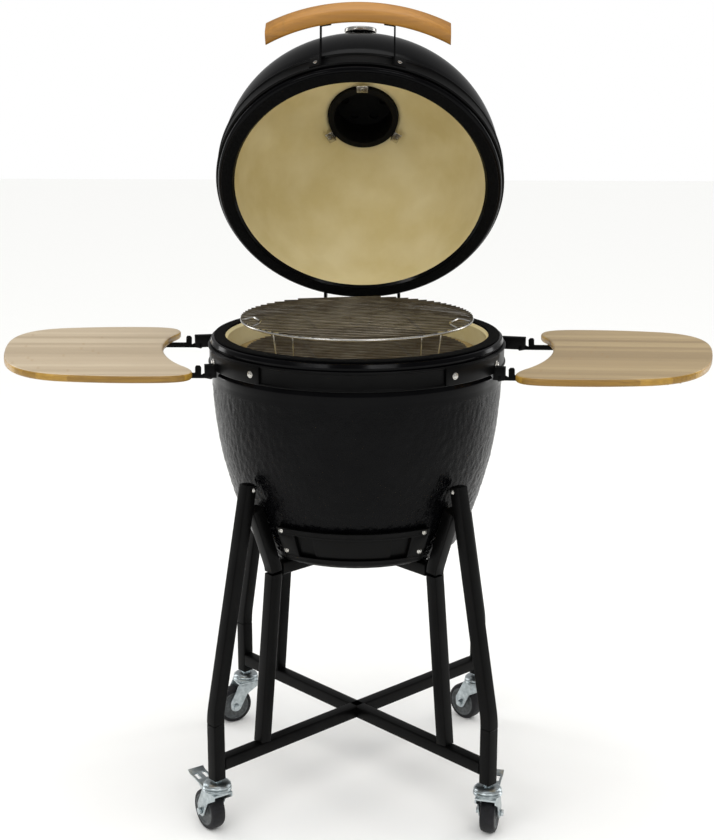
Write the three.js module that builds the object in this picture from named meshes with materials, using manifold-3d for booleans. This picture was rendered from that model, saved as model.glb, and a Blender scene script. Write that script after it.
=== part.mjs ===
// A 21 inch class kamado ceramic grill on a wheeled stand, lid open, shelves up.
// Millimetres, +Z up. The origin is on the floor, under the middle of the whole grill's box. The front
// faces -Y. Everything is drawn about the bowl's vertical axis and then set back to that origin.
import * as THREE from 'three';
import { mergeVertices } from 'three/addons/utils/BufferGeometryUtils.js';
import Module from 'manifold-3d';

const wasm = await Module();
wasm.setup();

// Driving dimensions
const GAP = 0.3; // clearance between touching pieces
const RIM_Z = 885; // top of the bowl rim
const RIM_R = 268.5; // outer radius of the rim
const BORE_R = 237; // inner radius of bowl and lid at the rim
const BOWL_BOTTOM_Z = 490;
const FELT = 3; // thickness of each gasket
const LID_RIM_Z = RIM_Z + 2 * FELT + 3 * GAP; // lid rim when it is closed
const BAND_R = 267.6; // inner radius of both steel bands
const BAND_T = 3;
const LID_OPEN = THREE.MathUtils.degToRad(58.8);
const HINGE_Y = 284;
const HINGE_Z = 882;
const TUBE = 24; // square tube of the stand
const CASTER_H = 110; // floor to leg bottom
const LEG_R = 346.5; // leg distance from the axis, on the diagonal
const WHEEL_R = 37.5;
const WHEEL_W = 29;
const TRAIL = 30; // wheel axle behind the swivel axis
const SHELF_T = 14;
const BOWL_AXIS_Y = -92.8; // bowl's axis from the origin
const ROUND = 32; // facets of the big turned pieces

const looks = {
  glaze: { color: 0x0b0b0c, roughness: 0.2, metalness: 0 },
  clay: { color: 0xd9c9a0, roughness: 0.85, metalness: 0 },
  felt: { color: 0x141414, roughness: 1, metalness: 0 },
  powderCoat: { color: 0x121212, roughness: 0.5, metalness: 0.2 },
  stainless: { color: 0xb9bbbd, roughness: 0.28, metalness: 1 },
  castIron: { color: 0x191919, roughness: 0.7, metalness: 0.5 },
  bamboo: { color: 0xc9a56a, roughness: 0.5, metalness: 0 },
  zinc: { color: 0x9ea29b, roughness: 0.35, metalness: 1 },
  tyre: { color: 0x17171a, roughness: 0.7, metalness: 0 },
  dial: { color: 0xdfe0dc, roughness: 0.3, metalness: 0.4 },
};

const grill = new THREE.Group();
grill.position.y = BOWL_AXIS_Y;

function addMesh(parent, name, geometry, look) {
  geometry.computeVertexNormals();
  const mesh = new THREE.Mesh(geometry, new THREE.MeshStandardMaterial(looks[look]));
  mesh.name = name;
  parent.add(mesh);
  return mesh;
}

// Booleans
function toSolid(geometry) {
  const bare = geometry.clone();
  bare.deleteAttribute('normal');
  bare.deleteAttribute('uv');
  const merged = mergeVertices(bare, 1e-4);
  const vertProperties = new Float32Array(merged.attributes.position.array);
  const triVerts = new Uint32Array(merged.index.array);
  return new wasm.Manifold(new wasm.Mesh({ numProp: 3, vertProperties, triVerts }));
}

function toGeometry(solid) {
  const mesh = solid.getMesh();
  const geometry = new THREE.BufferGeometry();
  geometry.setAttribute('position', new THREE.BufferAttribute(new Float32Array(mesh.vertProperties), 3));
  geometry.setIndex(new THREE.BufferAttribute(new Uint32Array(mesh.triVerts), 1));
  return geometry;
}

function join(geometries) {
  return toGeometry(geometries.map(toSolid).reduce((sum, solid) => sum.add(solid)));
}

function cut(geometry, tools) {
  return toGeometry(tools.map(toSolid).reduce((rest, tool) => rest.subtract(tool), toSolid(geometry)));
}

// Basic shapes
function box(x0, x1, y0, y1, z0, z1) {
  const geometry = new THREE.BoxGeometry(x1 - x0, y1 - y0, z1 - z0);
  return geometry.translate((x0 + x1) / 2, (y0 + y1) / 2, (z0 + z1) / 2);
}

function turned(profile, segments = ROUND) {
  const points = profile.map(([r, z]) => new THREE.Vector2(r, z));
  if (profile[0][0] > 0) points.push(points[0].clone());
  return new THREE.LatheGeometry(points, segments).rotateX(Math.PI / 2);
}

function ring(rInner, rOuter, z0, z1, segments = ROUND) {
  return turned([[rInner, z0], [rOuter, z0], [rOuter, z1], [rInner, z1]], segments);
}

function disc(r, z0, z1, segments = 24) {
  return new THREE.CylinderGeometry(r, r, z1 - z0, segments).rotateX(Math.PI / 2).translate(0, 0, (z0 + z1) / 2);
}

function rod(from, to, r, sides = 10) {
  const a = new THREE.Vector3(...from);
  const b = new THREE.Vector3(...to);
  const geometry = new THREE.CylinderGeometry(r, r, a.distanceTo(b), sides);
  const turn = new THREE.Quaternion().setFromUnitVectors(new THREE.Vector3(0, 1, 0), b.clone().sub(a).normalize());
  return geometry.applyQuaternion(turn).translate((a.x + b.x) / 2, (a.y + b.y) / 2, (a.z + b.z) / 2);
}

function flatShape(points) {
  return new THREE.Shape(points.map(([x, y]) => new THREE.Vector2(x, y)));
}

function plate(shape, depth, bevel = 0) {
  const options = { depth: depth - 2 * bevel, bevelEnabled: bevel > 0, bevelThickness: bevel, bevelSize: bevel };
  options.bevelOffset = -bevel;
  options.bevelSegments = 1;
  options.curveSegments = 5;
  return new THREE.ExtrudeGeometry(shape, options).translate(0, 0, bevel);
}

// An upright profile of [radius, height] points swept round the Z axis between two angles in degrees
// (0 is +X, -90 the front).
function arcSweep(profile, startDeg, endDeg, steps) {
  const r0 = profile[0][0];
  const start = THREE.MathUtils.degToRad(startDeg);
  const sweep = THREE.MathUtils.degToRad(endDeg - startDeg);
  class Arc extends THREE.Curve {
    getPoint(t, target = new THREE.Vector3()) {
      const angle = start + sweep * t;
      return target.set(r0 * Math.cos(angle), r0 * Math.sin(angle), 0);
    }
  }
  const section = flatShape(profile.map(([r, z]) => [-z, r0 - r]));
  return new THREE.ExtrudeGeometry(section, { extrudePath: new Arc(), steps, bevelEnabled: false });
}

function arcPlate(rInner, rOuter, z0, z1, startDeg, endDeg, steps) {
  return arcSweep([[rInner, z0], [rOuter, z0], [rOuter, z1], [rInner, z1]], startDeg, endDeg, steps);
}

function superellipse(radius, height, base, power, count, from = 0, to = Math.PI / 2) {
  const points = [];
  for (let i = 0; i <= count; i += 1) {
    const angle = from + ((to - from) * i) / count;
    const r = radius * Math.cos(angle) ** (2 / power);
    points.push([r, base + (height - base) * Math.sin(angle) ** (2 / power)]);
  }
  return points;
}

// Stand: four bent outer legs, four bent inner posts, and a crossed pair of tubes above and below
const CROSS_Z = CASTER_H + 27;
const UPPER_CROSS_Z = BOWL_BOTTOM_Z - GAP - TUBE / 2;
const LEG_PATH = [[LEG_R, CASTER_H + GAP], [LEG_R, 234], [262, 648]];
const POST_PATH = [[239, CROSS_Z + TUBE / 2 + GAP], [206, UPPER_CROSS_Z], [248, 600]];

// Outline of a bent tube seen from the side, from its centre line of [radius, height] points
function tubeOutline(path, halfWidth) {
  const [a, b, c] = path.map(([x, y]) => new THREE.Vector2(x, y));
  const normal = (p, q) => new THREE.Vector2(-(q.y - p.y), q.x - p.x).normalize();
  const n1 = normal(a, b);
  const n2 = normal(b, c);
  const mitre = n1.clone().add(n2).normalize();
  mitre.multiplyScalar(1 / mitre.dot(n1));
  const at = (p, n, side) => [p.x + n.x * side * halfWidth, p.y + n.y * side * halfWidth];
  const foot = (side) => [a.x + (side * halfWidth) / n1.x, a.y]; // the foot is cut level
  return [foot(-1), at(b, mitre, -1), at(c, n2, -1), at(c, n2, 1), at(b, mitre, 1), foot(1)];
}

function bentTube(path) {
  const tube = plate(flatShape(tubeOutline(path, TUBE / 2)), TUBE, 2);
  return tube.translate(0, 0, -TUBE / 2).rotateX(Math.PI / 2);
}

function crossedTubes(halfLength, z) {
  const half = TUBE / 2;
  const bar = (turn) => box(-halfLength, halfLength, -half, half, z - half, z + half).rotateZ(turn);
  return join([bar(Math.PI / 4), bar(-Math.PI / 4)]);
}

const CORNERS = { front_left: 225, front_right: 315, rear_left: 135, rear_right: 45 };

function addStand(parent) {
  for (const [corner, degrees] of Object.entries(CORNERS)) {
    const turn = THREE.MathUtils.degToRad(degrees);
    addMesh(parent, `leg_${corner}`, bentTube(LEG_PATH), 'powderCoat').rotation.z = turn;
    addMesh(parent, `inner_post_${corner}`, bentTube(POST_PATH), 'powderCoat').rotation.z = turn;
  }
  addMesh(parent, 'lower_cross', crossedTubes(LEG_R - TUBE / 2 - GAP, CROSS_Z), 'powderCoat');
  addMesh(parent, 'upper_cross', crossedTubes(206 - TUBE / 2 - 1.5, UPPER_CROSS_Z), 'powderCoat');
}

// Casters: the wheel trails along local +X
const CASTER_TRAIL_DEG = { front_left: 126, front_right: 77, rear_left: 208, rear_right: 135 };
const FORK_HALF = 17; // inner face of a fork cheek from the wheel's middle
const CHEEK_T = 2.5;

function casterHead() {
  return turned([[0, 97], [25, 97], [25, 100.5], [19, 104.5], [8.5, 104.5], [8.5, CASTER_H], [0, CASTER_H]], 12);
}

function casterFork() {
  const outline = [[-22, 84], [23, 84], [TRAIL + 12, 48], [TRAIL + 11.5, 36], [TRAIL + 6, 28.5], [TRAIL - 5, 28]];
  outline.push([TRAIL - 11, 34], [4, 62], [-22, 78]);
  const cheek = () => plate(flatShape(outline), CHEEK_T).rotateX(Math.PI / 2);
  const left = cheek().translate(0, FORK_HALF + CHEEK_T, 0);
  const right = cheek().translate(0, -FORK_HALF, 0);
  const crown = box(-22, 23, -FORK_HALF - CHEEK_T, FORK_HALF + CHEEK_T, 83, 88);
  const race = turned([[0, 87], [21, 87], [26, 90], [26, 95], [23, 96.7], [0, 96.7]], 12);
  const reach = FORK_HALF + CHEEK_T + 6;
  const axle = rod([TRAIL, -reach, WHEEL_R], [TRAIL, reach, WHEEL_R], 4, 8);
  const head = (y0, y1) => rod([TRAIL, y0, WHEEL_R], [TRAIL, y1, WHEEL_R], 7, 6);
  const heads = [head(-reach, -reach + 6), head(reach - 6, reach)];
  return join([left, right, crown, race, axle, ...heads]);
}

function casterWheel() {
  const half = WHEEL_W / 2;
  const profile = [[4.4, -half], [13, -half], [14, -10], [26, -10], [29, -half + 1], [WHEEL_R, -9]];
  profile.push([WHEEL_R, 9], [29, half - 1], [26, 10], [14, 10], [13, half], [4.4, half]);
  return turned(profile, 14).rotateX(Math.PI / 2);
}

function brakePedal() {
  const side = [[26, 79], [34, 79], [42, 86], [76, 90], [84, 95], [83, 97], [75, 92.4], [40, 88.8], [26, 87]];
  return plate(flatShape(side), 2 * FORK_HALF - 2).rotateX(Math.PI / 2).translate(0, FORK_HALF - 1, 0);
}

function addCasters(parent) {
  const reach = LEG_R / Math.SQRT2;
  for (const corner of Object.keys(CORNERS)) {
    const group = new THREE.Group();
    group.position.set(corner.endsWith('left') ? -reach : reach, corner.startsWith('front') ? -reach : reach, 0);
    group.rotation.z = THREE.MathUtils.degToRad(CASTER_TRAIL_DEG[corner]);
    addMesh(group, `caster_head_${corner}`, casterHead(), 'zinc');
    addMesh(group, `caster_fork_${corner}`, casterFork(), 'zinc');
    addMesh(group, `caster_wheel_${corner}`, casterWheel(), 'tyre').position.set(TRAIL, 0, WHEEL_R);
    if (corner.startsWith('front')) addMesh(group, `brake_pedal_${corner}`, brakePedal(), 'zinc');
    parent.add(group);
  }
}

// Bowl and what it holds
const BOWL_OUTSIDE = [[0, 490], [168, 490], [184, 494], [195, 506], [211, 540], [226, 579], [239, 622]];
BOWL_OUTSIDE.push([252, 675], [262, 742], [267.3, 815], [269.5, 829], [BAND_R - GAP, 834]);
BOWL_OUTSIDE.push([BAND_R - GAP, 873], [RIM_R, 877], [266.5, 883], [262, RIM_Z]);
const BOWL_INSIDE = [[241, RIM_Z], [BORE_R, 880], [235, 800], [225, 705], [208, 630], [192, 575]];
BOWL_INSIDE.push([172, 532], [150, 520], [0, 520]);
const VENT_HALF_DEG = 36; // half angle of the draft door frame
const VENT_Z = { bottom: 503, top: 573 };

// Radius of the bowl's outer surface at a height
function bowlRadius(z) {
  const i = BOWL_OUTSIDE.findIndex(([, height]) => height >= z);
  const [r0, z0] = BOWL_OUTSIDE[i - 1];
  const [r1, z1] = BOWL_OUTSIDE[i];
  return r0 + ((r1 - r0) * (z - z0)) / (z1 - z0);
}

// A leaf that follows the bowl's surface at a clearance, between two heights
function bowlLeaf(clearance, thickness, z0, z1, halfDeg, steps) {
  const mid = (z0 + z1) / 2;
  const inner = [z0, mid, z1].map((z) => [bowlRadius(z) + clearance, z]);
  const outer = [z1, mid, z0].map((z) => [bowlRadius(z) + clearance + thickness, z]);
  return arcSweep([...inner.reverse(), ...outer.reverse()], -90 - halfDeg, -90 + halfDeg, steps);
}

function bowlShell() {
  const airway = box(-58, 58, -240, -120, 521, 558);
  return cut(turned([...BOWL_OUTSIDE, ...BOWL_INSIDE]), [airway]);
}

function draftFrame() {
  const { bottom, top } = VENT_Z;
  const leaf = bowlLeaf(2, 8.2, bottom, top, VENT_HALF_DEG, 16);
  const channel = bowlLeaf(3.5, 4, bottom + 6, top - 6, VENT_HALF_DEG - 3, 12);
  const front = bowlLeaf(5, 8, bottom + 11, top - 11, VENT_HALF_DEG - 9, 10);
  const back = bowlLeaf(-1, 8, bottom + 14, top - 11, 15.5, 6);
  return cut(leaf, [channel, front, back]);
}

function draftDoor() {
  const { bottom, top } = VENT_Z;
  return bowlLeaf(4, 3, bottom + 6.6, top - 6.6, 18.5, 8);
}

function fireBox() {
  const profile = [[50, 520.4], [150, 520.4], [158, 526], [175, 560], [189, 610], [199, 665], [203, 716]];
  profile.push([180, 716], [178, 660], [166, 600], [150, 556], [50, 556]);
  const airway = box(-55, 55, -200, -110, 524, 550);
  return cut(turned(profile, 24), [airway]);
}

function charcoalGrate() {
  const bars = [];
  for (let i = -2; i <= 2; i += 1) {
    const reach = Math.sqrt(138 ** 2 - (i * 46) ** 2);
    bars.push(box(-reach, reach, i * 46 - 12, i * 46 + 12, 556.3, 564));
  }
  const spine = box(-8, 8, -138, 138, 556.3, 564);
  return join([ring(130, 145, 556.3, 564, 20), spine, ...bars]);
}

function fireRing() {
  const profile = [[181, 716.3], [202, 716.3], [214, 735], [226, 790], [229, 850], [196, 850], [192, 790]];
  return turned(profile, 24);
}

// Wire cooking grate: a ring with parallel bars lying on it
function wireGrate(radius, ringZ, barCount, slantDeg) {
  const circle = new THREE.TorusGeometry(radius - 3, 3, 4, 28).translate(0, 0, ringZ);
  const bars = [];
  for (let i = 0; i < barCount; i += 1) {
    const y = radius * (((i + 0.5) / barCount) * 1.9 - 0.95);
    const reach = Math.sqrt((radius - 0.5) ** 2 - y ** 2);
    const bar = rod([-reach, y, ringZ + 4], [reach, y, ringZ + 4], 2.3, 4);
    bars.push(bar.rotateZ(THREE.MathUtils.degToRad(slantDeg)));
  }
  return join([circle, ...bars]);
}

const GRATE_SLANT = 12;
const MAIN_GRATE_Z = 853.6;
const UPPER_GRATE_Z = 914;

function upperGrate() {
  const pieces = [wireGrate(214, UPPER_GRATE_Z, 12, GRATE_SLANT)];
  for (const degrees of [-150, -30, 90]) {
    const angle = THREE.MathUtils.degToRad(degrees);
    const at = (r, z, spread) => [r * Math.cos(angle + spread), r * Math.sin(angle + spread), z];
    const footZ = MAIN_GRATE_Z + 10;
    for (const side of [-0.09, 0.09]) pieces.push(rod(at(209, UPPER_GRATE_Z, side), at(203, footZ, side), 2.5, 4));
    pieces.push(rod(at(203, footZ, -0.1), at(203, footZ, 0.1), 2.5, 4));
  }
  return join(pieces);
}

function addBowl(parent) {
  addMesh(parent, 'bowl_shell', bowlShell(), 'glaze');
  addMesh(parent, 'bowl_gasket', ring(242, 261, RIM_Z + GAP, RIM_Z + GAP + FELT), 'felt');
  addMesh(parent, 'bowl_band', ring(BAND_R, BAND_R + BAND_T, 836, 871), 'powderCoat');
  addMesh(parent, 'fire_box', fireBox(), 'clay');
  addMesh(parent, 'charcoal_grate', charcoalGrate(), 'castIron');
  addMesh(parent, 'fire_ring', fireRing(), 'clay');
  addMesh(parent, 'main_grate', wireGrate(205, MAIN_GRATE_Z, 12, GRATE_SLANT), 'stainless');
  addMesh(parent, 'upper_grate', upperGrate(), 'stainless');
  addMesh(parent, 'draft_frame', draftFrame(), 'powderCoat');
  addMesh(parent, 'draft_door', draftDoor(), 'stainless');
}

// Lid, drawn closed inside a group that turns about the hinge
const LID_TOP = 268; // dome height above the lid rim
const NECK_R = 98;
const THROAT_R = 71;
const NECK_TOP = 284;

const DOME_BASE = 50;
const DOME_POWER = 2.3;
const GAUGE_ANGLE = 0.644; // place of the thermometer on the dome's curve

// Point and outward normal of the dome's front meridian
function domeFrame(angle) {
  const [[r, h]] = superellipse(RIM_R, LID_TOP, DOME_BASE, DOME_POWER, 1, angle, angle);
  const [[r2, h2]] = superellipse(RIM_R, LID_TOP, DOME_BASE, DOME_POWER, 1, angle + 0.01, angle + 0.01);
  const point = new THREE.Vector3(0, -r, LID_RIM_Z + h);
  return { point, normal: new THREE.Vector3(0, -(h2 - h), r - r2).normalize() };
}

function lidDome() {
  const shoulder = superellipse(RIM_R, LID_TOP, DOME_BASE, DOME_POWER, 7, 0.04, 1.26);
  const outside = [[241, 0], [264, 0], [RIM_R, 4], [RIM_R, 8], [BAND_R - GAP, 11], [BAND_R - GAP, 48]];
  outside.push(...shoulder, [NECK_R, LID_TOP], [NECK_R, NECK_TOP], [THROAT_R, NECK_TOP]);
  const inside = superellipse(BORE_R, 250, 30, 2.2, 5, 0.02, 1.25).reverse();
  const profile = [...outside, [THROAT_R, 243], ...inside, [BORE_R, 5]];
  const { point, normal } = domeFrame(GAUGE_ANGLE);
  const outer = point.clone().addScaledVector(normal, 20);
  const inner = point.clone().addScaledVector(normal, -60);
  return cut(turned(profile).translate(0, 0, LID_RIM_Z), [rod(outer.toArray(), inner.toArray(), 5.5, 10)]);
}

const LID_BAND = { z0: LID_RIM_Z + 12, z1: LID_RIM_Z + 46 };
const HANDLE = { rInner: 320, rOuter: 345, z0: LID_RIM_Z + 62, z1: LID_RIM_Z + 99, halfDeg: 28.8 };
const BRACKET_X = 66;

function handleBar() {
  const { rInner, rOuter, z0, z1, halfDeg } = HANDLE;
  const c = 4;
  const profile = [[rInner, z0 + c], [rInner + c, z0], [rOuter - c, z0], [rOuter, z0 + c], [rOuter, z1 - c]];
  profile.push([rOuter - c, z1], [rInner + c, z1], [rInner, z1 - c]);
  return arcSweep(profile, -90 - halfDeg, -90 + halfDeg, 16);
}

// Strap from the lid band out and up to the handle's inner face, with a turned foot at each end
function handleBracket(side) {
  const footY = -Math.sqrt((BAND_R + BAND_T + GAP + 0.4) ** 2 - BRACKET_X ** 2);
  const headY = -Math.sqrt((HANDLE.rInner - GAP - 0.6) ** 2 - BRACKET_X ** 2) + 1;
  const web = flatShape([[footY, LID_BAND.z0 + 4], [footY, LID_BAND.z0 + 34], [headY, HANDLE.z0 + 32],
    [headY, HANDLE.z0 + 6]]);
  const strap = plate(web, 3).rotateX(Math.PI / 2).rotateZ(Math.PI / 2).translate(-1.5, 0, 0);
  strap.translate(side * BRACKET_X, 0, 0);
  const centre = THREE.MathUtils.radToDeg(Math.asin(BRACKET_X / (BAND_R + BAND_T)));
  const spans = side > 0 ? [centre - 0.4, centre + 4.2] : [-centre - 4.2, -centre + 0.4];
  const foot = arcPlate(BAND_R + BAND_T + GAP, BAND_R + BAND_T + 3, LID_BAND.z0 + 4, LID_BAND.z0 + 34,
    -90 + spans[0], -90 + spans[1], 3);
  const headCentre = THREE.MathUtils.radToDeg(Math.asin(BRACKET_X / HANDLE.rInner));
  const headSpan = side > 0 ? [headCentre - 3.4, headCentre + 0.3] : [-headCentre - 0.3, -headCentre + 3.4];
  const head = arcPlate(HANDLE.rInner - 3, HANDLE.rInner - GAP, HANDLE.z0 + 6, HANDLE.z0 + 32,
    -90 + headSpan[0], -90 + headSpan[1], 3);
  return join([strap, foot, head]);
}

function thermometer() {
  const dial = turned([[0, 0], [28, 0], [30, 2], [30, 7.5], [28, 9], [0, 9]], 20);
  return join([dial, disc(3, -62, 1, 8)]);
}

// Top vent: cast base on the neck with three inside clamps, a swinging slide cap and a daisy wheel
const VENT_BASE_Z = LID_RIM_Z + NECK_TOP + GAP;
const CAP_PIVOT_Y = 86;
const PIVOT_R = 5;
const PIVOT_BORE = 6; // wide enough for the flats of both eight-sided outlines to pass
const VENT_HOLE_R = 10; // under a quarter of the pitch between holes, so that the wheel can shut them

function ventBase() {
  const throat = [[58, -48], [70, -48], [70, 0], [NECK_R + 4, 0], [NECK_R + 4, 10], [66, 16], [58, 16]];
  const pieces = [turned(throat, 24)];
  for (const degrees of [-90, 30, 150]) {
    const clamp = join([box(68, 74, -11, 11, -56, -44), box(69, 84, -11, 11, -60, -55)]);
    pieces.push(clamp.rotateZ(THREE.MathUtils.degToRad(degrees)));
  }
  pieces.push(rod([0, CAP_PIVOT_Y, 8], [0, CAP_PIVOT_Y, 27], PIVOT_R, 8));
  return join(pieces).translate(0, 0, VENT_BASE_Z);
}

function ventCap() {
  const lobe = new THREE.Shape().absarc(0, 0, 80, 0, 2 * Math.PI);
  const hub = disc(PIVOT_R, 17, 36, 8);
  const ear = box(-15, 15, 60, CAP_PIVOT_Y + 12, 17, 24);
  const handleTab = box(-9, 9, -108, -70, 17, 22);
  const body = join([plate(lobe, 7).translate(0, 0, 17), ear, handleTab, hub]);
  const holes = [rod([0, CAP_PIVOT_Y, 10], [0, CAP_PIVOT_Y, 30], PIVOT_BORE, 8)];
  for (let i = 0; i < 6; i += 1) {
    const angle = (i * Math.PI) / 3;
    holes.push(disc(VENT_HOLE_R, 10, 24.5, 8).translate(40 * Math.cos(angle), 40 * Math.sin(angle), 0));
  }
  return cut(body, holes).translate(0, 0, VENT_BASE_Z);
}

// Drawn shut: its holes lie between the cap's, and line up with them after a twelfth of a turn
function daisyWheel() {
  const holes = [disc(PIVOT_BORE, 20, 40, 8)];
  for (let i = 0; i < 6; i += 1) {
    const angle = ((i + 0.5) * Math.PI) / 3;
    holes.push(disc(VENT_HOLE_R, 20, 40, 8).translate(40 * Math.cos(angle), 40 * Math.sin(angle), 0));
  }
  const tab = box(58, 82, -8, 8, 24.4, 28);
  return cut(join([disc(64, 24.4, 29, 24), tab]), holes).translate(0, 0, VENT_BASE_Z);
}

function addLid(parent) {
  const lid = new THREE.Group();
  lid.position.set(0, HINGE_Y, HINGE_Z);
  lid.rotation.x = -LID_OPEN;
  const closed = new THREE.Group();
  closed.position.set(0, -HINGE_Y, -HINGE_Z);
  lid.add(closed);
  parent.add(lid);
  addMesh(closed, 'lid_dome', lidDome(), 'glaze');
  addMesh(closed, 'lid_gasket', ring(242, 261, LID_RIM_Z - GAP - FELT, LID_RIM_Z - GAP), 'felt');
  addMesh(closed, 'lid_band', ring(BAND_R, BAND_R + BAND_T, LID_BAND.z0, LID_BAND.z1), 'powderCoat');
  addMesh(closed, 'lid_handle', handleBar(), 'bamboo');
  addMesh(closed, 'handle_bracket_left', handleBracket(-1), 'stainless');
  addMesh(closed, 'handle_bracket_right', handleBracket(1), 'stainless');
  const gauge = addMesh(closed, 'thermometer', thermometer(), 'dial');
  const { point, normal } = domeFrame(GAUGE_ANGLE);
  gauge.position.copy(point).addScaledVector(normal, 1);
  gauge.rotation.x = Math.acos(normal.z);
  addMesh(closed, 'vent_base', ventBase(), 'castIron');
  addMesh(closed, 'vent_cap', ventCap(), 'castIron');
  addMesh(closed, 'daisy_wheel', daisyWheel(), 'castIron');
  addMesh(closed, 'lid_hinge_plate', lidHingePlate(), 'powderCoat');
}

// Hinge behind the bowl: a plate with ears on each band, one pin, two torsion springs
const PIN_R = 5;
const EAR_T = 6;
const BOWL_EAR_X = 84;
const LID_EAR_X = 74;

// Ear from a band's plate to the pin, with an eye round the pin
function hingeEar(x, z0, z1) {
  const rootY = Math.sqrt((BAND_R + BAND_T + 2) ** 2 - x ** 2);
  const eye = rod([x - EAR_T / 2, HINGE_Y, HINGE_Z], [x + EAR_T / 2, HINGE_Y, HINGE_Z], 10, 12);
  const outline = [[rootY, z0], [rootY, z1], [HINGE_Y, Math.max(z1, HINGE_Z + 9)], [HINGE_Y + 9, HINGE_Z]];
  outline.push([HINGE_Y, Math.min(z0, HINGE_Z - 9)]);
  const web = plate(flatShape(outline), EAR_T).rotateX(Math.PI / 2).rotateZ(Math.PI / 2);
  return join([web.translate(x - EAR_T / 2, 0, 0), eye]);
}

function hingePlate(earX, z0, z1) {
  const skin = arcPlate(BAND_R + BAND_T + GAP, BAND_R + BAND_T + 4, z0, z1, 90 - 20, 90 + 20, 8);
  return [skin, hingeEar(-earX, z0, z1), hingeEar(earX, z0, z1)];
}

const pinHole = () => rod([-120, HINGE_Y, HINGE_Z], [120, HINGE_Y, HINGE_Z], PIN_R + GAP, 12);

function bowlHingePlate() {
  return cut(join(hingePlate(BOWL_EAR_X, 838, 869)), [pinHole()]);
}

function lidHingePlate() {
  return cut(join(hingePlate(LID_EAR_X, LID_BAND.z0 + 1, LID_BAND.z1 - 1)), [pinHole()]);
}

function torsionSpring() {
  const turns = 5;
  const pitch = 6.2;
  class Coil extends THREE.Curve {
    getPoint(t, target = new THREE.Vector3()) {
      const angle = 2 * Math.PI * turns * t;
      return target.set(pitch * turns * (t - 0.5), 9.3 * Math.cos(angle), 9.3 * Math.sin(angle));
    }
  }
  const wire = new THREE.Shape().absarc(0, 0, 1.8, 0, 2 * Math.PI);
  return new THREE.ExtrudeGeometry(wire, { extrudePath: new Coil(), steps: 36, curveSegments: 2, bevelEnabled: false });
}

function addHinge(parent) {
  addMesh(parent, 'bowl_hinge_plate', bowlHingePlate(), 'powderCoat');
  const pin = rod([-94, HINGE_Y, HINGE_Z], [94, HINGE_Y, HINGE_Z], PIN_R, 12);
  addMesh(parent, 'hinge_pin', pin, 'zinc');
  addMesh(parent, 'hinge_spring_left', torsionSpring(), 'zinc').position.set(-48, HINGE_Y, HINGE_Z);
  addMesh(parent, 'hinge_spring_right', torsionSpring(), 'zinc').position.set(48, HINGE_Y, HINGE_Z);
}

// Folding side shelves. Each hangs on two brackets of the bowl band, in a frame turned a little
// forward: u points away from the bowl's axis and v backwards along the fold line. Only the sign of u
// differs between left and right.
const SHELF_TURN = THREE.MathUtils.degToRad(11.4);
const SHELF_RISE = THREE.MathUtils.degToRad(2); // the boards rise a little outwards
const FOLD_U = 276; // fold line from the bowl's axis
const FOLD_Z = 830;
const BOARD_V = 73; // middle of the board
const ARM_SPREAD = 137; // arms lie this far either side of the board's middle
const BOARD_LIFT = 5; // underside of the board above the fold line

function boardShape(side) {
  const at = (u, v) => [side * (u - FOLD_U), v];
  const shape = new THREE.Shape();
  shape.moveTo(...at(319, -150));
  shape.bezierCurveTo(...at(362, -62), ...at(362, 62), ...at(319, 150));
  shape.bezierCurveTo(...at(300, 190), ...at(308, 222), ...at(368, 225));
  shape.bezierCurveTo(...at(430, 228), ...at(480, 222), ...at(530, 212));
  shape.bezierCurveTo(...at(600, 198), ...at(631, 140), ...at(637, 66));
  shape.bezierCurveTo(...at(640, 22), ...at(640, -22), ...at(637, -66));
  shape.bezierCurveTo(...at(631, -140), ...at(600, -198), ...at(530, -212));
  shape.bezierCurveTo(...at(480, -222), ...at(430, -228), ...at(368, -225));
  shape.bezierCurveTo(...at(308, -222), ...at(300, -190), ...at(319, -150));
  return shape;
}

// Flat bar under the board; its inner end carries an upright stop finger and turns on the fold pin
function shelfArm(side) {
  const top = BOARD_LIFT - GAP;
  const outline = [[-7, -3], [-3, -7], [8, -5], [314, top - 9], [314, top], [26, top], [26, 15], [22, 18]];
  outline.push([18, 18], [15, 15], [15, 1], [5, 6], [-5, 6]);
  const bar = plate(flatShape(outline.map(([x, z]) => [side * x, z])), 5).rotateX(Math.PI / 2);
  return cut(bar.translate(0, 2.5, 0), [rod([0, -9, 0], [0, 9, 0], 3 + GAP, 12)]);
}

// Band bracket: a foot along the bowl band, two cheeks either side of the arm, and the fold pin
function shelfBracket(side, v, footFrom, footTo) {
  const outer = BAND_R + BAND_T + 2 * GAP;
  const cheek = (offset) => {
    const nearest = Math.min(Math.abs(v + offset), Math.abs(v + offset - 3));
    const root = Math.sqrt((outer + 1) ** 2 - nearest ** 2);
    const outline = [[root, 826], [FOLD_U + 9, 826], [FOLD_U + 9, 850], [root, 850]];
    const flat = flatShape(outline.map(([u, z]) => [side * u, z]));
    return plate(flat, 3).rotateX(Math.PI / 2).translate(0, v + offset, 0);
  };
  const pin = rod([side * FOLD_U, v - 8, FOLD_Z], [side * FOLD_U, v + 8, FOLD_Z], 3, 12);
  const [from, to] = side > 0 ? [footFrom, footTo] : [180 - footTo, 180 - footFrom];
  const foot = arcPlate(outer, outer + 4, 838, 869, from, to, 5);
  return join([foot, cheek(-3), cheek(6), pin]);
}

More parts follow.
